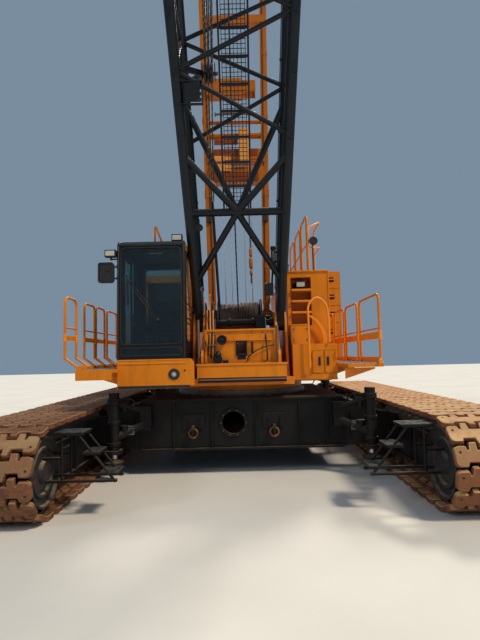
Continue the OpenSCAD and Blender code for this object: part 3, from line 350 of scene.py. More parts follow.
def laid_wire_rope(name, colour, lay_mm=62):
    """Six-strand wire rope in dark grease: twisted strands with painted highlights along their
    crowns and painted shade in the grooves between them.
    """
    material, node, shader, metres = new_material(name)
    # Strands cross the rope every 30 mm on the real one, drawn at lay_mm
    tilted = node("Mapping", {"Vector": metres, "Rotation": (0.5, 0.4, 0.0)})
    strands = node("TexWave", {"Vector": tilted, "Scale": 314.0 / lay_mm, "Distortion": 0.6,
                               "Detail": 1.0, "Detail Scale": 6.0}, "Fac", bands_direction="Z")
    shader({"Base Color": node("MixRGB", {0: strands, 1: toned(colour, 0.35),
                                          2: toned(colour, 1.5)}),
            "Metallic": 0.45,
            "Roughness": node("MapRange", {0: strands, 3: 0.7, 4: 0.42}),
            "Normal": node("Bump", {"Height": strands, "Distance": 6.0 / 1000,
                                    "Strength": 0.8})})
    return material


def tinted_safety_glass(name, colour):
    """Laminated float glass with a green-grey tint, and a cloudy film of dust."""
    material, node, shader, metres = new_material(name)
    clouds = node("TexNoise", {
        "Vector": node("Mapping", {"Vector": metres, "Scale": (1, 1, 1 / 2)}),
        "Scale": 1000 / 300, "Detail": 4.0})
    film = node("MapRange", {0: clouds, 1: 0.35, 2: 0.75})
    thin = node("Math", {0: film, 1: 0.12}, operation="MULTIPLY")
    shader({"Base Color": node("MixRGB", {0: thin, 1: colour, 2: srgb("#8C8F86")}),
            "Roughness": node("MapRange", {0: film, 3: 0.02, 4: 0.13}),
            "Transmission Weight": 1.0, "IOR": 1.5})
    return material


def moulded_rubber(name, code="#101112", rough=0.62):
    """Extruded or moulded black rubber: a matt skin with a slight bloom of age."""
    material, node, shader, metres = new_material(name)
    bloom = node("TexNoise", {"Vector": metres, "Scale": 1000 / 70, "Detail": 4.0})
    # Skin texture of 0.5 mm, drawn at 6 mm
    skin = node("TexNoise", {"Vector": metres, "Scale": 1000 / 6, "Detail": 2.0})
    shader({"Base Color": node("MixRGB", {
                0: node("MapRange", {0: bloom, 1: 0.4, 2: 0.75, 4: 0.35}),
                1: srgb(code), 2: srgb("#242424")}),
            "Roughness": node("MapRange", {0: bloom, 1: 0.3, 2: 0.7, 3: rough - 0.08,
                                           4: rough + 0.15}),
            "Normal": node("Bump", {"Height": skin, "Distance": 0.8 / 1000, "Strength": 0.4})})
    return material


def woven_seat_cloth(name, colour):
    """Flat-woven polyester seat cover: crossing threads with a dull sheen."""
    material, node, shader, metres = new_material(name)
    # Threads are 1 mm apart on the real one, drawn at 9 mm
    across, along = (
        node("TexWave", {"Vector": metres, "Scale": 35.0, "Distortion": 0.3}, "Fac",
             bands_direction=way) for way in "XZ")
    weave = node("Math", {0: across, 1: along}, operation="MAXIMUM")
    shader({"Base Color": node("MixRGB", {0: weave, 1: toned(colour, 0.5), 2: colour}),
            "Roughness": 0.9, "Sheen Weight": 0.35,
            "Normal": node("Bump", {"Height": weave, "Distance": 1.5 / 1000,
                                    "Strength": 0.6})})
    return material


def clear_lens(name, code):
    """Moulded polycarbonate lens: smooth, glossy and ribbed inside."""
    material, node, shader, metres = new_material(name)
    ribs = node("TexWave", {"Vector": metres, "Scale": 20.0}, "Fac", bands_direction="X")
    shader({"Base Color": node("MixRGB", {
                0: node("Math", {0: ribs, 1: 0.4}, operation="MULTIPLY"),
                1: srgb(code), 2: srgb("#F4F4F0")}),
            "Roughness": 0.12, "Coat Weight": 0.6,
            "Normal": node("Bump", {"Height": ribs, "Distance": 1.0 / 1000, "Strength": 0.5})})
    return material


def silvered_glass(name):
    """Silvered mirror glass, with a cloudy film of dust."""
    material, node, shader, metres = new_material(name)
    clouds = node("TexNoise", {"Vector": metres, "Scale": 1000 / 90, "Detail": 4.0})
    film = node("MapRange", {0: clouds, 1: 0.4, 2: 0.8})
    shader({"Metallic": 1.0,
            "Base Color": node("MixRGB", {0: film, 1: srgb("#D5DADC"), 2: srgb("#A9A79E")}),
            "Roughness": node("MapRange", {0: film, 3: 0.04, 4: 0.3})})
    return material


FINISHES = {}


def make_finishes(paint):
    """Makes every finish once. Its names are the record's slots and a few of their kin."""
    orange, black, chassis = list(paint.orange), list(paint.black), list(paint.chassis)
    dust, rust, track = list(paint.dust), list(paint.rust), list(paint.track)
    enamel = partial(sprayed_enamel, dust=dust, rust=rust)
    FINISHES.update({
        "paint_orange": enamel("orange_enamel", orange),
        "paint_pale": enamel("rail_enamel", toned(orange, 1.25, 0.02), dirt=0.3),
        "cab_black": enamel("cab_enamel", srgb("#0A0D10"), fade=0.3, dirt=0.2, chips=0.7,
                            rough=0.35, settled=0.08),
        "worn_black": enamel("worn_black_enamel", srgb("#24262A"), fade=0.9, dirt=0.2,
                             chips=0.55, rough=0.5),
        "weight_paint": enamel("weight_enamel", toned(orange, 0.93), dirt=0.75, chips=0.58,
                               rough=0.45),
        "paint_black": enamel("boom_enamel", black, fade=0.4, dirt=0.3, chips=0.66, rough=0.4,
                              settled=0.3),
        "frame_black": enamel("chassis_enamel", chassis, fade=0.4, dirt=0.4, chips=0.6,
                              rough=0.55, settled=0.25),
        "dusty_primer": enamel("dusty_primer", srgb("#84583E"), dirt=0.4),
        # The mast stands in its own shade, so its enamel is a darker orange, painted shade
        "mast_enamel": enamel("mast_enamel", srgb("#A85C0A"), dirt=0.6),
        # Darker and lighter copies of the orange for the mast's bands: painted shade and painted
        # light; the cab's lining takes the lighter one
        "mast_shade": enamel("mast_primer", srgb("#7C3A14"), dirt=0.6),
        "mast_lit": enamel("faded_enamel", srgb("#D99044"), dirt=0.3),
        "track_steel": cast_shoe_steel("cast_shoe_steel", track, rust, 0.85),
        "track_shade": cast_shoe_steel("shaded_shoe_steel", toned(track, 0.5), toned(rust, 0.6),
                                       0.12),
        "rusty_steel": cast_shoe_steel("rusty_steel", srgb("#9A6A43"), srgb("#6A3A1E"), 1.0),
        "bare_steel": machined_steel("turned_steel", "#6E6C68", 0.42),
        "bright_steel": machined_steel("chromed_rod", "#B9BCBE", 0.22, 30),
        "rope_steel": laid_wire_rope("wire_rope", list(paint.rope)),
        "wound_rope": laid_wire_rope("wound_wire_rope", srgb("#7C6C64"), 9),
        "galvanised": hot_dip_zinc("hot_dip_zinc", list(paint.zinc), dust),
        "dull_zinc": hot_dip_zinc("dull_zinc", srgb("#2E3237"), srgb("#6A5C48")),
        "glass": tinted_safety_glass("tinted_glass", list(paint.glass)),
        "rubber": moulded_rubber("moulded_rubber"),
        "plastic": moulded_rubber("moulded_abs", "#15171A", 0.45),
        "seat_fabric": woven_seat_cloth("seat_cloth", list(paint.fabric)),
        "lens": clear_lens("lamp_lens", "#A8A294"),
        "red_lens": clear_lens("red_lens", "#A01A12"),
        "mirror_glass": silvered_glass("mirror_glass"),
    })


# Geometry

def sideways(axis):
    """Two unit vectors square to an axis and to each other."""
    one = axis.cross(UP) if abs(axis.z) < 0.9 else axis.cross(Y)
    one.normalize()
    return one, axis.cross(one).normalized()


def arc(centre, one, two, r, start, stop, steps=8):
    """Points on an arc in the plane of one and two, in degrees."""
    angles = (math.radians(start + (stop - start) * k / steps) for k in range(steps + 1))
    return [Vector(centre) + r * (one * math.cos(a) + two * math.sin(a)) for a in angles]


def circle(centre, one, two, r, count):
    """Points spaced evenly round a centre, in the plane of one and two."""
    angles = (2 * math.pi * k / count for k in range(count))
    return [Vector(centre) + r * (one * math.cos(a) + two * math.sin(a)) for a in angles]


def straight(p, q, steps):
    """Points from p to q, both included."""
    return [p.lerp(q, k / steps) for k in range(steps + 1)]


def rounded(a, b, c, r, steps, most=0.5):
    """Points round the corner b between a and c."""
    cut = min(r, (b - a).length * most, (c - b).length * most)
    start, end = b + (a - b).normalized() * cut, b + (c - b).normalized() * cut
    return [start.lerp(b, t).lerp(b.lerp(end, t), t) for t in
            (k / steps for k in range(steps + 1))]


def bent(points, r, steps=4):
    """Line through points with its corners rounded to radius r."""
    points = [Vector(p) for p in points]
    line = [p for trio in zip(points, points[1:], points[2:]) for p in rounded(*trio, r, steps)]
    return [points[0]] + line + [points[-1]]


def looped(points, r, steps=4):
    """Closed line through points with its corners rounded to radius r."""
    points = [Vector(p) for p in points]
    trios = zip(points[-1:] + points[:-1], points, points[1:] + points[:1])
    return [p for trio in trios for p in rounded(*trio, r, steps, 0.49)]


class Shape:
    """Faces of one finish that grow together into one piece."""

    def __init__(self, name="", finish="", edge=0.0, sharp=38):
        self.name, self.finish, self.edge, self.sharp = name, finish, edge, sharp
        self.points, self.faces = [], []

    def grow(self, points, faces):
        start = len(self.points)
        self.points.extend(Vector(p) for p in points)
        self.faces.extend([start + i for i in face] for face in faces)
        return self

    def skin(self, rings, closed=False):
        """Faces between rings of points, with a cap on each end unless the run is closed."""
        count, n = len(rings), len(rings[0])
        faces = [(i * n + k, i * n + (k + 1) % n, (i + 1) % count * n + (k + 1) % n,
                  (i + 1) % count * n + k)
                 for i in range(count if closed else count - 1) for k in range(n)]
        if not closed:
            faces += [tuple(reversed(range(n))), tuple(range((count - 1) * n, count * n))]
        return self.grow([p for ring in rings for p in ring], faces)

    def box(self, low, high):
        (x0, y0, z0), (x1, y1, z1) = low, high
        return self.skin([[(x0, y0, z), (x1, y0, z), (x1, y1, z), (x0, y1, z)]
                          for z in (z0, z1)])

    def bar(self, p, q, width, height, up=UP):
        """Rectangular bar from p to q, its height along up."""
        p, q = Vector(p), Vector(q)
        run = (q - p).normalized()
        side = run.cross(Vector(up)).normalized() * width / 2
        rise = side.cross(run).normalized() * height / 2
        return self.skin([[e + a * side + b * rise for a, b in ROUND] for e in (p, q)])

    def pipe(self, line, r, sides=10, closed=False):
        """Round tube through the points of a line."""
        line = [Vector(p) for p in line]
        one, _ = sideways((line[1] - line[0]).normalized())
        rings = []
        for i, p in enumerate(line):
            before = line[i - 1] if (i or closed) else p
            after = line[(i + 1) % len(line)] if (i < len(line) - 1 or closed) else p
            run = (after - before).normalized()
            one = (one - run * one.dot(run)).normalized()
            rings.append(circle(p, one, run.cross(one), r, sides))
        return self.skin(rings, closed)

    def turned(self, centre, axis, profile, sides=24):
        """Solid turned about an axis, from [radius, height] pairs from one end to the other."""
        axis = Vector(axis).normalized()
        return self.skin([circle(Vector(centre) + axis * h, *sideways(axis), r, sides)
                          for r, h in profile])

    def rod(self, p, q, r, sides=16):
        p, q = Vector(p), Vector(q)
        return self.turned(p, q - p, [(r, 0), (r, (q - p).length)], sides)

    def ring(self, centre, axis, r_in, r_out, thick, sides=32):
        """Flat ring with its middle at centre."""
        h = thick / 2
        rounds = [circle(Vector(centre) + axis * z, *sideways(axis), r, sides) for r, z in
                  ((r_in, -h), (r_out, -h), (r_out, h), (r_in, h))]
        return self.skin(list(zip(*rounds)), closed=True)

    def plate(self, outline, origin, across, up, thick):
        """Plate cut to an outline of [across, up] points, thick along across x up."""
        depth = across.cross(up).normalized() * thick
        flat = [Vector(origin) + across * a + up * b for a, b in outline]
        return self.skin([flat, [p + depth for p in flat]])

    def bolt(self, at, axis, size):
        """Hexagon head on its washer."""
        self.turned(at, axis, [(size * 0.95, -0.002), (size * 0.95, size * 0.12)], 14)
        return self.turned(at, axis, [(size * 0.58, 0), (size * 0.58, size * 0.5),
                                      (size * 0.48, size * 0.62)], 6)

    def bolts(self, centre, one, two, r, count, axis, size):
        """Circle of bolts round a centre."""
        for at in circle(centre, one, two, r, count):
            self.bolt(at, axis, size)

    def piece(self, body):
        """Makes the Blender object, rides it on its body and gives it its finish."""
        mesh = bpy.data.meshes.new(self.name)
        mesh.from_pydata(self.points, [], self.faces)
        work = bmesh.new()
        work.from_mesh(mesh)
        bmesh.ops.recalc_face_normals(work, faces=work.faces)
        if self.edge:
            keen = [e for e in work.edges if e.is_manifold and e.calc_face_angle() > 0.6]
            bmesh.ops.bevel(work, geom=keen, offset=self.edge, segments=1, affect="EDGES",
                            clamp_overlap=True)
        work.to_mesh(mesh)
        work.free()
        mesh.shade_smooth()
        mesh.set_sharp_from_angle(angle=math.radians(self.sharp))
        thing = bpy.data.objects.new(self.name, mesh)
        bpy.context.scene.collection.objects.link(thing)
        mesh.materials.append(FINISHES[self.finish])
        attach(thing, body)
        return thing


def make(body, *shapes):
    for shape in shapes:
        shape.piece(body)


# Operators, one for each group of like pieces

class CRANE_OT_finish_frame(bpy.types.Operator):
    """Gives each CAD node the finish of its material slot"""
    bl_idname = "crane.finish_frame"
    bl_label = "Finish the frame"

    def execute(self, context):
        make_finishes(context.scene.crane_paint)
        for part in frame["record"]["subparts"]:
            slots = frame["nodes"][part["node"]].data.materials
            slots.clear()
            slots.append(FINISHES[OTHER_FINISHES.get(part["node"], part["material_slot"])])
        return {"FINISHED"}


# Undercarriage

def loop_place(t, lift=0.0):
    """Matrix at distance t round a track loop: X across, Y along the run, Z outward."""
    half, turn = 2 * TRACK_A, math.pi * TRACK_R
    t %= TRACK_LAP
    if t < half:
        y, z, angle = -TRACK_A + t, TRACK_R, 0.0
    elif t < half + turn:
        angle = (t - half) / TRACK_R
        y, z = TRACK_A + TRACK_R * math.sin(angle), TRACK_R * math.cos(angle)
    elif t < 2 * half + turn:
        y, z, angle = TRACK_A - (t - half - turn), -TRACK_R, math.pi
    else:
        angle = math.pi + (t - 2 * half - turn) / TRACK_R
        y, z = -TRACK_A + TRACK_R * math.sin(angle), TRACK_R * math.cos(angle)
    bend = 0.02 if angle not in (0.0, math.pi) else 0.0
    return (Matrix.Translation((0, y, z + TRACK_R)) @ Matrix.Rotation(-angle, 4, "X")
            @ Matrix.Translation((0, 0, lift - bend)))


def shoe_outline():
    """Top view of a shoe: rounded ends, and fingers that mesh with the next shoe's."""
    body, tip, finger, count = 0.072, 0.168, 0.121, 7
    x0 = -finger * count / 2
    front, back = [], []
    for k in range(count):
        a, b = x0 + k * finger, x0 + (k + 1) * finger
        side, sign = (back, -1) if k % 2 else (front, 1)
        side += [(x, sign * y) for x, y in
                 ((a + 0.01, body), (a + 0.02, tip), (b - 0.02, tip), (b - 0.01, body))]
    end, shoulder, r = SHOE_W / 2, 0.125, 0.06
    right = [(p.x, p.y) for p in
             arc((end - r, -shoulder + r, 0), X, Y, r, -90, 0, 3)
             + arc((end - r, shoulder - r, 0), X, Y, r, 0, 90, 3)]
    left = [(-x, -y) for x, y in right]
    return ([(-x0 + 0.012, -body), (-x0 + 0.03, -shoulder)] + right
            + [(-x0 + 0.03, shoulder), (-x0 + 0.012, body)] + front[::-1]
            + [(x0 - 0.012, body), (x0 - 0.03, shoulder)] + left
            + [(x0 - 0.03, -shoulder), (x0 - 0.012, -body)] + back)


class CRANE_OT_tracks(bpy.types.Operator):
    """Builds both tracks from cast shoes with meshing fingers, on forged links"""
    bl_idname = "crane.tracks"
    bl_label = "Tracks"

    def execute(self, context):
        pad, link = 0.075, 0.095
        shoe = Shape().plate(shoe_outline(), (0, 0, -pad), X, Y, pad)
        # Links under the pad, and the two lugs that drive it
        under, hollow = Shape(), Shape()
        for s in ENDS:
            under.box((s * 0.2 - 0.07, -0.14, -pad - link), (s * 0.2 + 0.07, 0.14, -pad))
            under.box((s * 0.45 - 0.03, -0.1, -pad - 0.04), (s * 0.45 + 0.03, 0.1, -pad))
            hollow.turned((s * 0.53, s * -0.05, -0.004), UP, [(0.016, 0), (0.016, 0.006)], 10)
        under.box((-0.16, -0.05, -pad - link * 0.7), (0.16, 0.05, -pad))
        random.seed(3)
        for side, s in SIDES:
            pads = Shape(f"shoes_{side}", "track_shade" if side == "right" else "track_steel",
                         0.009)
            links = Shape(f"links_{side}", "rusty_steel")
            holes = Shape(f"shoe_holes_{side}", "rubber")
            for i in range(SHOES):
                rock = Matrix.Rotation(random.uniform(-0.012, 0.012), 4, "X")
                place = (Matrix.Translation((s * GAUGE / 2, 0, 0))
                         @ loop_place((i + 0.5) * TRACK_LAP / SHOES, -0.003) @ rock)
                for whole, one in ((pads, shoe), (links, under), (holes, hollow)):
                    whole.grow([place @ p for p in one.points], one.faces)
            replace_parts(pads.piece("undercarriage"), f"track_{side}")
            make("undercarriage", links, holes)
        return {"FINISHED"}


class CRANE_OT_running_gear(bpy.types.Operator):
    """Adds hubs, bolt circles, ribs and adjusters to the crawler frames"""
    bl_idname = "crane.running_gear"
    bl_label = "Running gear"

    def execute(self, context):
        bolt = context.scene.crane_sizes.bolt
        low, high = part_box("side_frames")
        hubs = Shape("wheel_hubs", "frame_black", 0.003)
        discs = Shape("wheel_guards", "worn_black", sharp=25)
        ribs = Shape("crawler_ribs", "frame_black", 0.003)
        bolts = Shape("crawler_bolts", "bare_steel")
        for s, y in ((s, y) for _, s in SIDES for y in (-TRACK_A, TRACK_A)):
            for face in ENDS:
                hub = Vector((s * GAUGE / 2 + face * 0.28, y, TRACK_R))
                hubs.turned(hub, X * face, [(0.2, -0.02), (0.2, 0.02), (0.16, 0.035),
                                            (0.1, 0.04), (0.09, 0.07), (0.03, 0.075)], 32)
                bolts.bolts(hub + X * face * 0.018, Y, UP, 0.165, 12, X * face, bolt * 0.5)
            # Dished guard plates on the inner side of the end wheels
            discs.turned((s * 2.6, y, TRACK_R), X * s, [
                (0.11, 0.0), (0.14, 0.0), (0.16, 0.05), (0.27, 0.07), (0.285, 0.03),
                (0.32, 0.03), (0.335, 0.06), (0.41, 0.04), (0.43, 0.0), (0.46, 0.0),
                (0.46, 0.035), (0.42, 0.09), (0.14, 0.11), (0.12, 0.27)], 48)
        for s, face in ((s, face) for _, s in SIDES for face in ENDS):
            x = s * GAUGE / 2 + face * 0.35
            for y in (-3.2 + k * 0.8 for k in range(9)):
                ribs.box((x - 0.012, y - 0.012, low.z + 0.06),
                         (x + face * 0.045, y + 0.012, high.z - 0.04))
            for z in (low.z + 0.05, high.z - 0.05):
                ribs.box((x - 0.01, -3.4, z - 0.014), (x + face * 0.05, 3.4, z + 0.014))
            # Access covers of the track adjuster
            for y in (-2.8, 2.8):
                ribs.box((x - 0.01, y - 0.2, TRACK_R - 0.11),
                         (x + face * 0.022, y + 0.2, TRACK_R + 0.11))
                for dy, dz in ROUND:
                    bolts.bolt((x + face * 0.02, y + dy * 0.17, TRACK_R + dz * 0.085),
                               X * face, bolt * 0.45)
        make("undercarriage", hubs, discs, ribs, bolts)
        return {"FINISHED"}


class CRANE_OT_carbody(bpy.types.Operator):
    """Adds ribs, port rims, tow rings, bolts and covers to the carbody"""
    bl_idname = "crane.carbody"
    bl_label = "Carbody"

    def execute(self, context):
        bolt = context.scene.crane_sizes.bolt
        low, high = 0.44, 1.34
        ribs = Shape("carbody_ribs", "frame_black", 0.004)
        rims = Shape("carbody_rims", "frame_black", 0.003)
        bolts = Shape("carbody_bolts", "bare_steel")
        rings = Shape("tow_rings", "rusty_steel")
        for face in ENDS:
            y, out = face * CARBODY, Y * face
            for x in (-0.54, 0.24, -1.22, 1.02, 1.5):
                ribs.box((x - 0.014, y, low + 0.03), (x + 0.014, y + face * 0.05, high - 0.03))
            for z in (low + 0.02, high - 0.02):
                ribs.box((-CARBODY, y, z - 0.018), (CARBODY, y + face * 0.06, z + 0.018))
            rims.ring((PORT_X, y + face * 0.01, PORT_Z), out, 0.197, 0.25, 0.05, 40)
            bolts.bolts((PORT_X, y + face * 0.03, PORT_Z), X, UP, 0.225, 10, out, bolt * 0.4)
            for x in TOW_XS:
                for dx in (-0.15, 0.15):
                    ribs.plate([(-0.012, 0), (0.012, 0), (0.008, 0.15), (-0.008, 0.15)],
                               (x + dx * 0.7, y + face * 0.045, 0.865), X, UP, 0.02)
                # The ring hangs through the lug's eye
                rings.pipe(circle((x, y + face * 0.1, 0.745), X, UP, 0.075, 20), 0.017, 8,
                           closed=True)
        for r, z in ((1.27, 1.433), (1.4, 1.338)):
            bolts.bolts((0, 0, z), X, Y, r, 36, UP, bolt * 0.8)
        # Ribs on the arms' outer walls, and the pins that lock the crawlers on
        for s, end in ((s, end) for _, s in SIDES for end in ENDS):
            for way in ENDS:
                y = end * ARM_Y + way * 0.5
                for x in (1.95, 2.3, 2.62):
                    ribs.box((s * x - 0.012, y, 0.58), (s * x + 0.012, y + way * 0.02, 1.06))
            rims.turned((s * 2.66, end * ARM_Y, 1.04), UP,
                        [(0.085, -0.1), (0.085, 0.05), (0.06, 0.06), (0.06, 0.1),
                         (0.02, 0.105)], 20)
        make("undercarriage", ribs, rims, bolts, rings)
        return {"FINISHED"}


class CRANE_OT_jacks_and_steps(bpy.types.Operator):
    """Adds rods, glands and pads to the jacks, and gratings to the steps"""
    bl_idname = "crane.jacks_and_steps"
    bl_label = "Jacks and steps"

    def execute(self, context):
        rods = Shape("jack_rods", "bright_steel")
        tubes = Shape("jack_collars", "frame_black", 0.003)
        hoses = Shape("jack_hoses", "rubber")
        grips = Shape("tread_grips", "dull_zinc")
        lips = Shape("tread_lips", "frame_black", 0.002)
        for s, end in ((s, end) for _, s in SIDES for end in ENDS):
            x, y = s * 2.2, end * 2.15
            for z, r, thick in ((1.36, 0.115, 0.09), (1.0, 0.108, 0.05), (0.64, 0.112, 0.06)):
                tubes.ring((x, y, z), UP, 0.09, r, thick, 24)
            rods.turned((x, y, 0.36), UP, [(0.055, 0), (0.055, 0.13)], 20)
            tubes.turned((x, y, 0.30), UP, [(0.14, 0), (0.17, 0.02), (0.17, 0.045),
                                            (0.08, 0.07), (0.06, 0.1)], 28)
            for z, r in ((0.86, 0.075), (1.24, 0.06)):
                tubes.turned((x - s * 0.15, y - end * 0.09, z), UP, [(r, -0.08), (r, 0.08)], 14)
            hoses.pipe(bent([(x - s * 0.1, y, 1.38), (x - s * 0.28, y, 1.42),
                             (x - s * 0.42, y - end * 0.28, 1.2),
                             (s * 1.76, end * 1.82, 1.12)], 0.12), 0.013, 8)
        edge = GAUGE / 2 - SHOE_W / 2 - 0.03
        for _, s in SIDES:
            # Raised teeth on the three treads: inward edges and height
            for inner, outer, z in ((0, 0.41, 1.13), (0.4, 0.62, 0.87), (0.6, 0.86, 0.6)):
                middle, half = s * (edge - (inner + outer) / 2), (outer - inner) / 2
                for y in (-3.97 + k * 0.04 for k in range(9)):
                    grips.box((middle - half + 0.02, y, z),
                              (middle + half - 0.02, y + 0.012, z + 0.006))
                for y in (-4.004, -3.622):
                    lips.box((middle - half, y, z - 0.028), (middle + half, y + 0.006, z + 0.004))
            # Ribbed wear plates on the jacks' arms
            at = Vector((s * 1.975, -2.064, 0.8515))
            for dz in (k * 0.034 - 0.075 for k in range(5)):
                grips.box((at.x - 0.1, at.y - 0.014, at.z + dz),
                          (at.x + 0.1, at.y + 0.02, at.z + dz + 0.02))
        make("undercarriage", rods, tubes, hoses, grips, lips)
        return {"FINISHED"}


# Upper works

class CRANE_OT_winch_ropes(bpy.types.Operator):
    """Winds rope on the drums and leads it to the boom and the mast"""
    bl_idname = "crane.winch_ropes"
    bl_label = "Winch ropes"

    def execute(self, context):
        sizes = context.scene.crane_sizes
        r, steps = sizes.rope / 2, 18
        main = Shape("main_drum_rope", "wound_rope")
        others = Shape("hoist_drum_ropes", "wound_rope")
        for shape, drum, radius, x0, x1, turns in (
                (main, MAIN_DRUM, 0.302, -0.405, 0.405, sizes.windings + 2),
                (main, MAIN_DRUM, 0.326, -0.02, 0.4, sizes.windings // 2),
                (others, HOIST_DRUM, 0.302, -0.4, 0.4, sizes.windings),
                (others, REAR_DRUM, 0.262, -0.4, 0.4, sizes.windings)):
            lap = circle(drum, Y, UP, radius + r, steps) * turns + [drum + Y * (radius + r)]
            shape.pipe([p + X * (x0 + (x1 - x0) * k / (turns * steps))
                        for k, p in enumerate(lap)], r, 7)
        make("upper", main, others)

        # The hoist rope leaves the drum's front and runs inside the boom to its head
        start = MAIN_DRUM + Vector((-0.03, -0.3, 0.16))
        inside, guide = on_boom(-0.06, 0.1, 2.6), on_boom(-0.075, 0.0, 14.6)
        head = on_boom(-0.09, -TIP_OFF + SHEAVE_R, BOOM_L - 0.1)
        lead = Shape("hoist_rope", "rope_steel").pipe(
            [start] + straight(inside, guide, 12) + straight(guide, head, 6)[1:], r, 8)
        lead = lead.piece("upper")
        lead.parent = None
        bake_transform(lead)

        # Boom hoist: eight parts of rope between the rear gantry and the mast's head
        reeving = Shape("boom_hoist_ropes", "bright_steel")
        top = on_mast(0, *MAST_AXLE)
        for x in GANTRY_XS:
            for near in ENDS:
                # Rings at the ends alone keep each part straight at every mast angle
                reeving.pipe([GANTRY_AXLE + Vector((x, near * 0.19, 0.06)),
                              top + Vector((x, near * 0.24, 0.0))], 0.0075, 7)
        falls = reeving.piece("upper")
        falls.parent = None
        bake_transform(falls)
        gantry = Shape("gantry_frame", "paint_orange", 0.004)
        pulleys = Shape("gantry_sheaves", "bare_steel")
        for x in (-0.59, 0.56):
            gantry.plate([(3.91, 1.7), (4.28, 1.7), (4.21, 2.48), (3.99, 2.48)],
                         (x, 0, 0), Y, UP, 0.03)
        gantry.rod(GANTRY_AXLE - X * 0.62, GANTRY_AXLE + X * 0.62, 0.045, 24)
        gantry.rod((-0.57, 4.16, 1.96), (0.57, 4.16, 1.96), 0.03)
        for x in GANTRY_XS:
            pulleys.turned(GANTRY_AXLE + X * (x - 0.035), X, [
                (0.09, 0), (0.19, 0), (0.205, 0.006), (0.18, 0.03), (0.18, 0.04),
                (0.205, 0.064), (0.19, 0.07), (0.09, 0.07)], 32)
        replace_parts(gantry.piece("upper"), "hoist_gantry")
        pulleys.piece("upper")
        return {"FINISHED"}


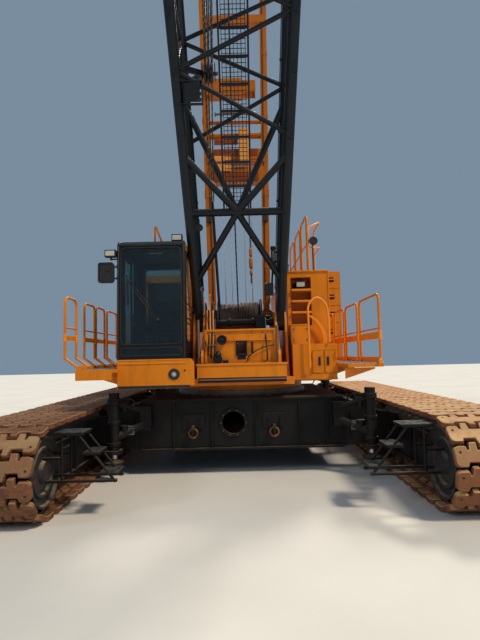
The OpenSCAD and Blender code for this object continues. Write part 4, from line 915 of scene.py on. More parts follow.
class CRANE_OT_centre(bpy.types.Operator):
    """Adds shafts, hoses, valves and plates between the boom's feet"""
    bl_idname = "crane.centre"
    bl_label = "Centre machinery"

    def execute(self, context):
        bolt, y = context.scene.crane_sizes.bolt, PANEL_Y
        orange = Shape("centre_plates", "paint_orange", 0.004)
        black = Shape("foot_shaft", "paint_black", 0.004)
        steel = Shape("centre_fittings", "bare_steel", 0.003)
        dusty = Shape("dusty_rods", "dusty_primer", 0.002)
        bolts = Shape("centre_bolts", "bare_steel")
        # Shaft on the boom's foot pins, with its collars
        black.rod(BOOM_PIN - X * 0.655, BOOM_PIN + X * 0.655, 0.062, 24)
        for x in (-0.6, -0.2, 0.25, 0.6):
            black.turned(BOOM_PIN + X * (x - 0.03), X, [(0.085, 0), (0.085, 0.06)], 24)
        black.box((0.3, -1.32, 2.62), (0.5, -1.16, 2.86))
        black.box((-0.62, -1.34, 2.66), (-0.44, -1.16, 2.98))
        # Panel in front of the drum: its frame, the dark opening's rim and a round fan
        for shape, deep, rows in (
                (orange, 0.035, ((-0.64, 0.64, 2.535, 2.57), (-0.64, -0.6, 1.72, 2.55),
                                 (0.6, 0.64, 1.72, 2.55), (-0.64, 0.64, 2.362, 2.374))),
                (black, 0.03, ((-0.085, -0.06, 2.1, 2.355), (0.09, 0.115, 2.1, 2.355),
                               (-0.085, 0.115, 2.33, 2.355), (-0.085, 0.115, 2.095, 2.12))),
                (black, 0.012, ((-0.06, 0.09, 2.03, 2.13),))):
            for x0, x1, z0, z1 in rows:
                shape.box((x0, y - deep, z0), (x1, y + 0.01, z1))
        fan = Vector((-0.33, y - 0.03, 2.38))
        black.turned(fan, -Y, [(0.086, 0), (0.086, 0.02), (0.05, 0.034)], 24)
        black.ring(fan - Y * 0.035, Y, 0.055, 0.088, 0.04, 24)
        for k in range(6):
            a = math.pi * k / 6
            spoke = Vector((0.06 * math.cos(a), 0, 0.06 * math.sin(a)))
            black.bar(fan - Y * 0.045 - spoke, fan - Y * 0.045 + spoke, 0.01, 0.01)
        for x in (-0.58, -0.45, -0.2, 0.2, 0.4, 0.58):
            bolts.bolt((x, y, 1.78), -Y, bolt * 0.3)
            bolts.bolt((x, y - 0.035, 2.5), -Y, bolt * 0.3)
        # Valve block and swivel on the panel
        black.box((0.19, y - 0.06, 2.14), (0.225, y, 2.3))
        black.turned((0.207, y - 0.04, 2.3), UP, [(0.02, 0), (0.02, 0.03), (0.01, 0.04)], 12)
        black.box((-0.47, y - 0.13, 1.98), (-0.33, y - 0.02, 2.08))
        black.turned((-0.4, y - 0.1, 2.08), UP, [(0.05, 0), (0.06, 0.04), (0.03, 0.1)], 16)
        black.turned((-0.32, y - 0.1, 2.0), X, [(0.03, 0), (0.03, 0.09), (0.02, 0.1)], 16)
        # Front beam: top cap, tread strip, black stripes of painted shade along its lower edge and
        # the dusty edge between them
        low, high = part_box("front_beam")
        orange.box((-0.78, low.y - 0.018, 1.93), (0.81, low.y + 0.09, 1.965))
        steel.box((-0.74, low.y + 0.02, 1.96), (-0.5, -1.95, 1.972))
        for shape, out, z0, z1 in ((black, 0.004, 1.7, 1.724), (black, 0.004, 1.636, 1.69),
                                   (dusty, 0.012, 1.678, 1.7)):
            shape.box((low.x + 0.01, low.y - out, z0), (high.x - 0.01, low.y + 0.01, z1))
        # The rod beside the left foot stands inward, so that the lowered boom passes it
        dusty.rod((0.655, -1.98, 1.96), (0.655, -1.91, 2.62), 0.027, 20)
        dusty.turned((0.655, -1.98, 1.962), UP, [(0.05, 0), (0.05, 0.02), (0.03, 0.05)], 16)
        steel.rod((-0.74, -2.0, 1.96), (-0.76, -1.84, 2.75), 0.03, 16)
        for _, s in SIDES:
            # Brackets' pin covers and their bolts
            for pin, x, size, way in ((BOOM_PIN, 0.89, 0.13, s), (BOOM_PIN, 0.66, 0.13, -s),
                                      (MAST_PIN, 0.7, 0.11, s), (MAST_PIN, 0.48, 0.11, -s)):
                out, at = X * way, Vector((s * x, pin.y, pin.z))
                steel.turned(at, out, [(size * 0.7, 0), (size * 0.7, 0.012),
                                       (size * 0.3, 0.018)], 24)
                bolts.bolts(at + out * 0.012, Y, UP, size * 0.5, 6, out, bolt * 0.35)
            # Stiffening ribs on the outer faces of the long webs
            for y_rib, z_top in ((-1.7, 2.2), (0.5, 2.5), (1.6, 2.28), (2.6, 2.28), (3.4, 2.22)):
                orange.box((s * 0.71 - 0.03, y_rib - 0.01, 1.7),
                           (s * 0.71 + 0.03, y_rib + 0.01, z_top))
            orange.box((s * 0.68 - 0.07, 1.0, 2.335), (s * 0.68 + 0.07, 2.4, 2.365))
        make("upper", orange, black, steel, dusty, bolts)

        # Hoses and pipes from the panel up the brackets: seven under one clamp on the right,
        # and one on the left
        hoses, pipes = Shape("foot_hoses", "rubber"), Shape("foot_pipes", "paint_orange")
        for s, k in [(-1, k) for k in range(7)] + [(1, 0)]:
            x, z = s * (0.47 + 0.028 * k), 2.9 + 0.16 * (k % 4)
            line = bent([(x, -1.9, 2.0 + 0.03 * k), (x, -1.97 + 0.012 * k, 2.12),
                         (x - s * 0.02, -1.93, 2.45), (x + s * 0.01, -1.45, z - 0.06),
                         (x, -1.1, z - 0.3), (x, -0.75, z - 0.34)], 0.16, 6)
            (pipes if k % 2 else hoses).pipe(line, 0.0125 + 0.002 * (k % 3), 8)
        clamps = Shape("hose_clamps", "bare_steel", 0.003)
        clamps.box((-0.67, -1.99, 2.28), (-0.44, -1.89, 2.3))
        hoses.pipe(bent([(0.12, -1.89, 2.0), (0.12, -1.95, 2.06), (0.3, -1.96, 2.2),
                         (0.5, -1.94, 2.26), (0.6, -1.89, 2.27)], 0.1), 0.009, 8)
        make("upper", hoses, pipes, clamps)
        return {"FINISHED"}


class CRANE_OT_machine_house(bpy.types.Operator):
    """Adds frames, louvres, latches, steps, rails and the guard of the machine house"""
    bl_idname = "crane.machine_house"
    bl_label = "Machine house"

    def execute(self, context):
        bolt = context.scene.crane_sizes.bolt
        (x0, x1), (y0, y1), top = HOUSE_X, HOUSE_Y, HOUSE_TOP
        seams = Shape("house_seams", "paint_orange", 0.003)
        louvres = Shape("house_louvres", "paint_orange")
        rails = Shape("house_rails", "paint_pale")
        dark = Shape("house_dark", "plastic", 0.002)
        bolts = Shape("house_bolts", "bare_steel")
        # Raised frames round the roof's edge and down the corners
        corners = [(x0, y0, top), (x1, y0, top), (x1, y1, top), (x0, y1, top)]
        for (x, y, _), after in zip(corners, corners[1:] + corners[:1]):
            seams.bar((x, y, top), after, 0.05, 0.03)
            seams.box((x - 0.012, y - 0.012, 1.72), (x + 0.012, y + 0.012, top))
        for y in (-0.72, 0.24, 1.22, 2.5):
            seams.box((x1 - 0.01, y - 0.012, 1.74), (x1 + 0.008, y + 0.012, top - 0.02))
        for z in (1.95, 3.53):
            seams.box((x1 - 0.01, y0, z - 0.012), (x1 + 0.008, y1, z + 0.012))
        # Louvres over the engine, on the side, the back and the roof
        for z in (2.1 + k * 0.062 for k in range(22)):
            louvres.bar((x1 + 0.002, 2.56, z), (x1 + 0.002, 3.42, z), 0.03, 0.034, (0.75, 0, 1))
            louvres.bar((x0 + 0.08, y1 + 0.002, z), (x1 - 0.08, y1 + 0.002, z), 0.03, 0.034,
                        (0, 0.75, 1))
        for y in (2.35 + k * 0.11 for k in range(9)):
            louvres.bar((x0 + 0.12, y, top + 0.01), (x1 - 0.12, y, top + 0.01), 0.05, 0.03)
        # Pulls, locks and pressed frames of the three side doors ride on them
        for i, y in enumerate((-0.65, 0.3, 1.6), 1):
            pull = Shape(f"door_pull_{i}", "bare_steel")
            pull.pipe(bent([(x1 + out, y + 0.405, z) for out, z in
                            ((0.02, 2.62), (0.06, 2.62), (0.06, 2.76), (0.02, 2.76))], 0.02),
                      0.008, 8)
            pull.turned((x1 + 0.02, y + 0.42, 2.5), X, [(0.022, 0), (0.022, 0.008),
                                                        (0.012, 0.012)], 14)
            panel = Shape(f"door_press_{i}", "paint_orange", 0.002)
            for z in (2.05, 3.36):
                panel.box((x1 + 0.01, y + 0.05, z), (x1 + 0.016, y + 0.44, z + 0.03))
            for yy in (0.045, 0.42):
                panel.box((x1 + 0.01, y + yy, 2.05), (x1 + 0.016, y + yy + 0.02, 3.39))
            make(f"side_door_{i}", pull, panel)
        # Handles of the two locker doors
        for i, x in enumerate((1.43, 1.585), 1):
            grip = Shape(f"locker_pull_{i}", "plastic")
            grip.pipe(bent([(x, -1.71, 1.9), (x, -1.734, 1.9), (x, -1.734, 2.02),
                            (x, -1.71, 2.02)], 0.012), 0.006, 8)
            grip.box((x - 0.02, -1.718, 1.88), (x + 0.02, -1.71, 2.04))
            grip.piece(f"locker_door_{i}")
        # Steps in the recess: lips and treads, with dark slats over them
        for z in (2.88, 3.1, 3.32):
            rails.box((1.02, -1.222, z + 0.012), (1.4, -1.208, z + 0.045))
            for dx in (k * 0.037 for k in range(10)):
                louvres.box((1.03 + dx, -1.2, z + 0.029), (1.045 + dx, -0.96, z + 0.036))
        seams.box((1.03, -0.79, 2.7), (1.39, -0.77, 3.56))
        for dz in (k * 0.02 for k in range(7)):
            dark.box((1.08, -0.82, 3.4 + dz), (1.36, -0.79, 3.41 + dz))
        # Handrail loop in front of the steps and the curved guard beside it
        rails.pipe(bent([(1.24, -1.76, 1.8), (1.24, -1.8, 1.84), (1.24, -1.8, 2.78),
                         (1.24, -1.78, 3.0), (1.42, -1.74, 3.16), (1.6, -1.72, 3.0),
                         (1.62, -1.74, 2.7), (1.62, -1.74, 2.3)], 0.16, 6), 0.021, 12)
        guard = [(p.x, p.z) for p in arc((1.12, -1.28, 2.35), X, UP, 0.55, 62, 8, 10)]
        rails.plate(guard + [(x - 0.075, z) for x, z in reversed(guard)], (0, -1.24, 0), X, UP,
                    0.02)
        rails.box((1.585, -1.275, 2.29), (1.665, -1.235, 2.45))
        # Lower front: panel joint, plinth and hinge side
        for z in (2.28, 2.64):
            seams.box((x0 + 0.005, -1.588, z - 0.012), (x0 + 0.325, -1.572, z + 0.012))
        seams.box((x0 - 0.004, -1.708, 1.63), (x1 + 0.006, -1.694, 1.66))
        for x in (0.99, 1.24):
            for z in (2.36, 2.56):
                bolts.bolt((x, -1.58, z), -Y, bolt * 0.35)
        # Roof: two hatches, the horn on its post, a rail and the exhaust's rain cap
        seams.box((1.05, -0.9, top - 0.005), (1.34, -0.35, top + 0.05))
        seams.box((1.05, 0.3, top - 0.005), (1.34, 1.1, top + 0.05))
        dark.turned((1.5, -0.95, top + 0.62), -Y, [(0.03, -0.06), (0.035, 0.0), (0.05, 0.06),
                                                   (0.085, 0.13), (0.088, 0.14)], 20)
        dark.rod((1.5, -0.95, top), (1.5, -0.95, top + 0.6), 0.012, 10)
        rails.pipe(bent([(1.4, -1.05, top), (1.4, -1.05, top + 0.9), (1.7, -0.7, top + 1.1),
                         (1.7, 0.1, top + 1.1), (1.7, 0.1, top)], 0.1), 0.02, 10)
        rails.pipe([(1.4, -1.05, top + 0.5), (1.7, -0.62, top + 0.58), (1.7, 0.1, top + 0.58)],
                   0.014, 8)
        dark.turned((1.25, 1.9, 4.42), UP, [(0.085, 0), (0.085, 0.012)], 20)
        dark.bar((1.25, 1.82, 4.40), (1.25, 1.98, 4.43), 0.02, 0.012)
        make("upper", seams, louvres, rails, dark, bolts)
        return {"FINISHED"}


# Cab

def frame_of(a, b, place):
    """The four corners of a rectangle from a to b, put in place by a function of two sizes."""
    return [place(u, v) for u, v in ((a[0], a[1]), (b[0], a[1]), (b[0], b[1]), (a[0], b[1]))]


def cushion(low, high, across=28, around=40, square=0.34, crown=0.16):
    """Crowned pad that fills a box, with soft edges and fuller faces, as rings of points."""
    low, high = Vector(low), Vector(high)
    middle, half = (low + high) / 2, (high - low) / 2
    # The thin way of the pad is fuller in its middle than at its edges
    thin = min(range(3), key=lambda n: half[n])
    one, two = [n for n in range(3) if n != thin]

    def bulge(value):
        return math.copysign(abs(value) ** square, value)

    rings = []
    for lat in (math.pi * (i / across - 0.5) for i in range(1, across)):
        rings.append([])
        for lon in (2 * math.pi * k / around for k in range(around)):
            p = Vector((bulge(math.cos(lat)) * bulge(math.cos(lon)),
                        bulge(math.cos(lat)) * bulge(math.sin(lon)), bulge(math.sin(lat))))
            p[thin] *= 1 - crown * max(abs(p[one]), abs(p[two])) ** 2
            rings[-1].append(middle + Vector(p[n] * half[n] for n in range(3)))
    return rings


class CRANE_OT_cab(bpy.types.Operator):
    """Adds seals, wiper, sill trim, controls and seat pads to the cab"""
    bl_idname = "crane.cab"
    bl_label = "Cab"

    def execute(self, context):
        (x0, x1), (y0, y1), foot, top = CAB_X, CAB_Y, CAB_FOOT, CAB_TOP
        lean, brow = 0.07 / (top - foot - 0.05), 0.13

        def front(x, z, out=0.0):
            return Vector((x, y0 + (z - foot) * lean - out, z))

        seals, trims = Shape("cab_seals", "rubber"), Shape("cab_trims", "plastic", 0.002)
        orange = Shape("cab_sill_trim", "paint_orange")
        steel = Shape("cab_grips", "bare_steel")
        inside = Shape("cab_controls", "plastic", 0.003)
        glow = Shape("cab_lights", "lens", 0.002)
        lining = Shape("cab_lining", "mast_lit")
        up_pane = (front(0, 1) - front(0, 0)).normalized()
        a, b = x0 + 0.06, x1 - 0.06
        for low, high, r in ((foot + 0.25, top - 0.11, 0.1), (foot + 0.06, foot + 0.19, 0.065)):
            seals.pipe(looped(frame_of((a, low), (b, high), front), r), 0.013, 8, closed=True)
            # Black print in the pane's corners makes them look round
            mask = [(0, 0)] + [(r + p.x, r + p.y) for p in arc((0, 0, 0), X, Y, r, 270, 180, 6)]
            for x, sx in ((a, 1), (b, -1)):
                for z, sz in ((low, 1), (high, -1)):
                    trims.plate(mask, front(x, z, -0.006), X * sx, up_pane * sz,
                                0.006 * -sx * sz)
        # Brow over the windscreen, roof gutter and the pillars' rounded covers
        trims.bar(front(x0 + 0.01, top - 0.062), front(x1 - 0.01, top - 0.062), 0.03, 0.03)
        for z, inset in ((top - 0.004, 0.02), (top + 0.012, 0.09)):
            edge = frame_of((x0 + inset, y0 + brow + inset), (x1 - inset, y1 - inset),
                            lambda u, v: (u, v, z))
            trims.pipe(looped(edge, 0.08), 0.016, 8, closed=True)
        for x in (x0 + 0.014, x1 - 0.014):
            trims.pipe([front(x, foot + 0.01, -0.006), front(x, top - 0.055, -0.006),
                        (x, y0 + brow, top - 0.006)], 0.022, 10)
        # Seals of the window beside the boom, with its rails, and of the rear window
        for edge in (frame_of((-2.2, foot + 0.3), (-0.85, top - 0.15),
                              lambda u, v: (x1 + 0.004, u, v)),
                     frame_of((x0 + 0.15, foot + 0.7), (x1 - 0.15, top - 0.2),
                              lambda u, v: (u, y1 + 0.004, v))):
            seals.pipe(looped(edge, 0.08), 0.012, 8, closed=True)
        for z in (foot + 0.7, foot + 0.95):
            trims.rod((x1 + 0.012, -2.2, z), (x1 + 0.012, -0.85, z), 0.011, 10)
        # Wiper: two arms from its motor, a yoke and the blade
        motor, yoke = front(-1.39, 2.73, 0.02), front(-1.87, 3.4, 0.035)
        for shift in (-0.026, 0.026):
            trims.rod(motor + Vector((shift, 0, 0.01)), yoke + X * shift, 0.0075, 8)
        trims.turned(motor, -Y, [(0.034, -0.015), (0.034, 0.01), (0.02, 0.022), (0.01, 0.026)],
                     20)
        trims.bar(yoke - X * 0.05, yoke + X * 0.05, 0.02, 0.03)
        trims.bar(front(-1.915, 3.52, 0.026), front(-1.9, 3.0, 0.026), 0.016, 0.03, -Y)
        # Feet of the roof's narrow rail
        for x in (-1.53, -1.37):
            steel.turned((x, -1.8, top), UP, [(0.045, 0.001), (0.045, 0.008), (0.022, 0.02)], 16)
        # Sill: raised swages, a dark strip of painted shade along its foot under an orange lip,
        # its round lamp and a plug
        orange.rod((x0 + 0.04, y0 - 0.001, 1.995), (-0.92, y0 - 0.001, 1.995), 0.012, 8)
        orange.rod((x0 + 0.02, y0 - 0.001, 2.052), (-0.88, y0 - 0.001, 2.052), 0.007, 8)
        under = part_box("cab_base")[0].z
        trims.box((x0 + 0.012, y0 - 0.004, under + 0.004), (-0.86, y0 + 0.01, under + 0.05))
        orange.box((x0 + 0.02, y0 - 0.006, under + 0.05), (-0.84, y0 + 0.01, under + 0.062))
        for r_in, r_out, shape in ((0.05, 0.094, trims), (0.036, 0.052, steel)):
            shape.ring((-1.125, y0 - 0.004, 1.81), Y, r_in, r_out, 0.022, 28)
        glow.turned((-1.125, y0 + 0.004, 1.81), -Y, [(0.044, 0), (0.04, 0.012), (0.01, 0.018)],
                    24)
        trims.turned((-0.945, y0, 1.87), -Y, [(0.018, 0), (0.015, 0.006)], 14)
        # Painted rail over the window beside the boom, and the lining behind its lower half
        orange.box((x1 - 0.006, -2.2, top - 0.13), (x1 + 0.008, y1 - 0.02, top - 0.03))
        orange.box((x1 - 0.006, -0.83, foot + 0.02), (x1 + 0.008, y1 - 0.01, top - 0.03))
        lining.box((x1 - 0.05, -2.15, foot + 0.28), (x1 - 0.03, -0.9, top - 0.16))
        for y, z in ((-2.05 + k * 0.1, foot + 0.36 + j * 0.1) for k in range(12)
                     for j in range(14)):
            lining.turned((x1 - 0.031, y, z), X, [(0.02, 0), (0.014, 0.006)], 8)
        # Inside: levers with boots, monitor on its post, pedals and the roof lining
        for x in (-1.87, -1.14):
            for y in (-1.7, -1.52):
                inside.turned((x, y, foot + 0.6), UP,
                              [(0.045, 0), (0.03, 0.03), (0.012, 0.06), (0.01, 0.17),
                               (0.026, 0.19), (0.028, 0.24), (0.012, 0.26)], 14)
            inside.box((x - 0.06, -1.45, foot + 0.62), (x + 0.06, -1.15, foot + 0.68))
        inside.rod((-1.09, -2.05, foot + 0.06), (-1.09, -2.0, foot + 0.95), 0.014, 10)
        inside.bar((-1.2, -2.02, foot + 0.95), (-1.02, -2.0, foot + 0.95), 0.04, 0.2)
        inside.bar((-1.9, -2.05, foot + 0.72), (-1.74, -2.07, foot + 0.72), 0.03, 0.15)
        for x in (-1.64, -1.46):
            inside.bar((x, -2.2, foot + 0.08), (x, -2.06, foot + 0.16), 0.11, 0.015)
            inside.rod((x, -2.12, foot + 0.14), (x, -2.1, foot + 0.45), 0.012, 8)
        inside.box((x0 + 0.1, y0 + 0.32, top - 0.1), (x1 - 0.1, y1 - 0.12, top - 0.07))
        # Pale lens plate under the roof: painted light for the sky seen through the roof window
        glow.box((x0 + 0.45, y0 + 0.5, top - 0.112), (x1 - 0.45, y0 + 0.6, top - 0.1))
        make("upper", seals, trims, orange, steel, inside, glow, lining)

        # The door's own seal, lock and pull ride on it
        low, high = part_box("cab_door")
        seal = Shape("door_seal", "rubber")
        seal.pipe(looped(frame_of((low.y + 0.07, foot + 0.25), (high.y - 0.07, high.z - 0.09),
                                  lambda u, v: (low.x + 0.004, u, v)), 0.08), 0.012, 8,
                  closed=True)
        pull, y = Shape("cab_door_pull", "bare_steel"), low.y + 0.05
        pull.pipe(bent([(low.x + dx, y, foot + dz) for dx, dz in
                        ((0.01, 0.6), (-0.035, 0.6), (-0.035, 1.1), (0.01, 1.1))], 0.03),
                  0.011, 8)
        pull.turned((low.x + 0.002, y, foot + 0.5), -X, [(0.028, 0), (0.028, 0.01),
                                                         (0.014, 0.016)], 16)
        make("cab_door", seal, pull)

        # Seat: pads of foam under woven cloth on a moulded pan and a sprung pedestal
        low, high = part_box("seat")
        mid, base = (low.x + high.x) / 2, low.z
        pan = Shape("seat_pan", "plastic", 0.006)
        pan.box((low.x + 0.01, low.y + 0.01, base + 0.3),
                (high.x - 0.01, high.y - 0.1, base + 0.35))
        pan.box((mid - 0.12, -1.6, base), (mid + 0.12, -1.3, base + 0.05))
        pan.box((low.x + 0.03, high.y - 0.03, base + 0.38), (high.x - 0.03, high.y, base + 1.0))
        for z in (base + 0.06 + k * 0.05 for k in range(5)):
            pan.pipe(looped(frame_of((mid - 0.11, -1.58), (mid + 0.11, -1.32),
                                     lambda u, v: (u, v, z)), 0.05), 0.024, 8, closed=True)
        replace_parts(pan.piece("upper"), "seat")
        for name, a, b in (
                ("seat_cushion", (low.x, low.y, base + 0.34), (high.x, high.y - 0.1, base + 0.45)),
                ("seat_back", (low.x + 0.02, high.y - 0.14, base + 0.45),
                 (high.x - 0.02, high.y - 0.03, base + 0.86)),
                ("seat_headrest", (mid - 0.14, high.y - 0.13, base + 0.88),
                 (mid + 0.14, high.y - 0.04, base + 1.05))):
            pad = Shape(name, "seat_fabric", sharp=70).skin(cushion(a, b))
            pad.piece("upper")
            # Piping along the seam round the pad's widest line
            thin = min(range(3), key=lambda n: b[n] - a[n])
            one, two = [n for n in range(3) if n != thin]
            seam = []
            for su, sv in ROUND:
                p = (Vector(a) + Vector(b)) / 2
                p[one] += su * (b[one] - a[one]) / 2 * 0.975
                p[two] += sv * (b[two] - a[two]) / 2 * 0.975
                seam.append(p)
            piping = Shape(f"{name}_piping", "plastic")
            piping.pipe(looped(seam, 0.07, 6), 0.0045, 6, closed=True).piece("upper")
        return {"FINISHED"}


class CRANE_OT_lamps_and_mirror(bpy.types.Operator):
    """Adds lenses and frames to the work lamps, and the mirror's glass"""
    bl_idname = "crane.lamps_and_mirror"
    bl_label = "Lamps and mirror"

    def execute(self, context):
        rims, lenses = Shape("lamp_rims", "plastic"), Shape("lamp_lenses", "lens", 0.003)
        cases = Shape("lamp_fins", "plastic")
        for x, y, z in LAMPS:
            face = y - 0.06
            rims.pipe(looped([(x + sx * 0.084, face - 0.001, z + sz * 0.05)
                              for sx, sz in ROUND], 0.02), 0.009, 8, closed=True)
            lenses.box((x - 0.08, face - 0.006, z - 0.045), (x + 0.08, face + 0.002, z + 0.045))
            for dx in (k * 0.04 - 0.085 for k in range(5)):
                cases.box((x + dx, y + 0.058, z - 0.05), (x + dx + 0.01, y + 0.085, z + 0.05))
        low, high = MIRROR
        glass = Shape("mirror_face", "mirror_glass", 0.002)
        glass.box((low.x + 0.02, high.y - 0.002, low.z + 0.02),
                  (high.x - 0.02, high.y + 0.004, high.z - 0.02))
        shell = Shape("mirror_shell", "plastic")
        shell.pipe(looped(frame_of((low.x + 0.01, low.z + 0.01), (high.x - 0.01, high.z - 0.01),
                                   lambda u, v: (u, low.y - 0.004, v)), 0.035), 0.013, 8,
                   closed=True)
        middle = (low + high) / 2
        shell.turned((middle.x + 0.04, low.y, middle.z + 0.05), -Y,
                     [(0.03, 0), (0.028, 0.016), (0.012, 0.02)], 16)
        make("upper", rims, lenses, cases, glass, shell)
        return {"FINISHED"}


# Walks, rails and weights

class CRANE_OT_walks(bpy.types.Operator):
    """Adds gratings, kick boards, middle plates and bent feet to the walks and rails"""
    bl_idname = "crane.walks"
    bl_label = "Walks and rails"

    def execute(self, context):
        bolt, deck, x = context.scene.crane_sizes.bolt, WALK_Z, RIGHT_RAIL_X
        low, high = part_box("catwalks")
        grid = Shape("walk_gratings", "galvanised")
        boards = Shape("walk_boards", "paint_pale", 0.002)
        feet, bolts = Shape("rail_feet", "paint_pale"), Shape("rail_bolts", "bare_steel")
        for x0, x1, y0, y1 in ((low.x + 0.04, -2.12, low.y + 0.05, high.y - 0.06),
                               (1.79, high.x - 0.04, -2.55, high.y - 0.06)):
            for y in (y0 + k * 0.075 for k in range(int((y1 - y0) / 0.075))):
                grid.box((x0, y, deck - 0.002), (x1, y + 0.012, deck + 0.009))
            for at in (x0, (x0 + x1) / 2, x1 - 0.012):
                grid.box((at, y0, deck - 0.002), (at + 0.012, y1, deck + 0.006))
        # Brackets under the walks
        for wall, reach in ((-2.1, low.x + 0.06), (1.76, high.x - 0.06)):
            for y in (-2.3, -1.0, 0.3, 1.6, 2.9):
                boards.plate([(0, deck - 0.075), (0, deck - 0.26), (reach - wall, deck - 0.1),
                              (reach - wall, deck - 0.075)], (wall, y, 0), X, UP, 0.012)
        # The left rail stands outside its walk, on blocks that the frame already has
        for y in (y for loop in LEFT_LOOPS for y in loop):
            boards.turned((LEFT_RAIL_X, y, deck + 0.47), UP, [(0.028, 0), (0.028, 0.12)], 14)
            for dy in (-0.028, 0.028):
                bolts.bolt((low.x + 0.035, y + dy, deck + 0.044), UP, bolt * 0.3)
        boards.box((low.x + 0.002, low.y + 0.06, deck), (low.x + 0.01, high.y - 0.06, deck + 0.07))
        for a, b in RIGHT_LOOPS:
            # Broad middle plate, thicker at its clamps
            boards.box((x - 0.006, a - 0.01, deck + 0.4), (x + 0.006, b + 0.01, deck + 0.52))
            for y in (a, b):
                boards.turned((x, y, deck + 0.38), UP, [(0.03, 0), (0.03, 0.16)], 14)
                # The post's foot bends inward to a pad on the walk
                feet.pipe(bent([(x, y, deck + 0.16), (x, y, deck + 0.07),
                                (x - 0.05, y - 0.05, deck + 0.012),
                                (x - 0.05, y - 0.13, deck + 0.012)], 0.05), 0.021, 10)
                feet.turned((x, y, deck), UP, [(0.045, 0.001), (0.045, 0.012), (0.03, 0.02)], 16)
                bolts.bolt((x - 0.05, y - 0.1, deck + 0.03), UP, bolt * 0.35)
        boards.box((x - 0.004, RIGHT_LOOPS[0][0], deck),
                   (x + 0.004, RIGHT_LOOPS[-1][1], deck + 0.1))
        make("upper", grid, boards, feet, bolts)
        return {"FINISHED"}


class CRANE_OT_weights(bpy.types.Operator):
    """Adds cast pockets, straps, pins and tail lamps to the rear weights"""
    bl_idname = "crane.weights"
    bl_label = "Rear weights"

    def execute(self, context):
        bolt, (y0, y1) = context.scene.crane_sizes.bolt, WEIGHT_Y
        cast = Shape("weight_castings", "weight_paint", 0.004)
        pockets = Shape("weight_pockets", "frame_black", 0.003)
        pins = Shape("weight_pins", "bare_steel")
        red = Shape("tail_lamps", "red_lens", 0.004)
        for _, s in SIDES:
            inner, outer = s * 1.25, s * 3.05
            for i in range(5):
                z = WEIGHT_Z + i * SLAB
                for y, out in ((y0, -1), (y1, 1)):
                    # Sling pockets at both ends of each slab's long faces
                    for x in (inner + s * 0.28, outer - s * 0.28):
                        pockets.box((x - 0.09, y, z + 0.2), (x + 0.09, y + out * 0.006, z + 0.34))
                        cast.turned((x, y + out * 0.028, z + 0.27), X,
                                    [(0.022, -0.1), (0.022, 0.1)], 14)
                    cast.box((inner + s * 0.5, y, z + 0.06),
                             (outer - s * 0.5, y + out * 0.012, z + 0.1))
                    # Stub keys between slabs
                    for x in (inner + s * 0.55, outer - s * 0.55) if i else ():
                        pins.turned((x, y + out * 0.012, z), Y * out,
                                    [(0.05, 0), (0.05, 0.01), (0.03, 0.02)], 16)
            # Ladder of bent rungs up each stack's inner face
            for z in (WEIGHT_Z + 0.2 + k * 0.3 for k in range(8)):
                cast.pipe(bent([(inner, 4.35, z), (inner - s * 0.12, 4.35, z),
                                (inner - s * 0.12, 4.75, z), (inner, 4.75, z)], 0.03), 0.014, 8)
            red.box((outer - s * 0.3, y1 - 0.002, 1.72), (outer - s * 0.12, y1 + 0.03, 1.8))
            for x in (s * 1.5, s * 2.2, s * 2.85):
                for z in (1.7, 1.88):
                    pins.bolt((x, y1, z), Y, bolt * 0.7)
                    pins.bolt((x, y0, z), -Y, bolt * 0.7)
            # Pads where the eye's plate is welded on
            cast.box((s * 2.15 - 0.09, 4.36, 4.545), (s * 2.15 + 0.09, 4.79, 4.562))
        # Plate joint round the tray and its service cover
        cast.box((-1.2, y1 - 0.002, 1.66), (1.2, y1 + 0.01, 1.7))
        pockets.box((-0.5, y1 - 0.002, 1.76), (0.5, y1 + 0.008, 1.9))
        make("upper", cast, pockets, pins, red)
        return {"FINISHED"}


# Boom, mast and hook

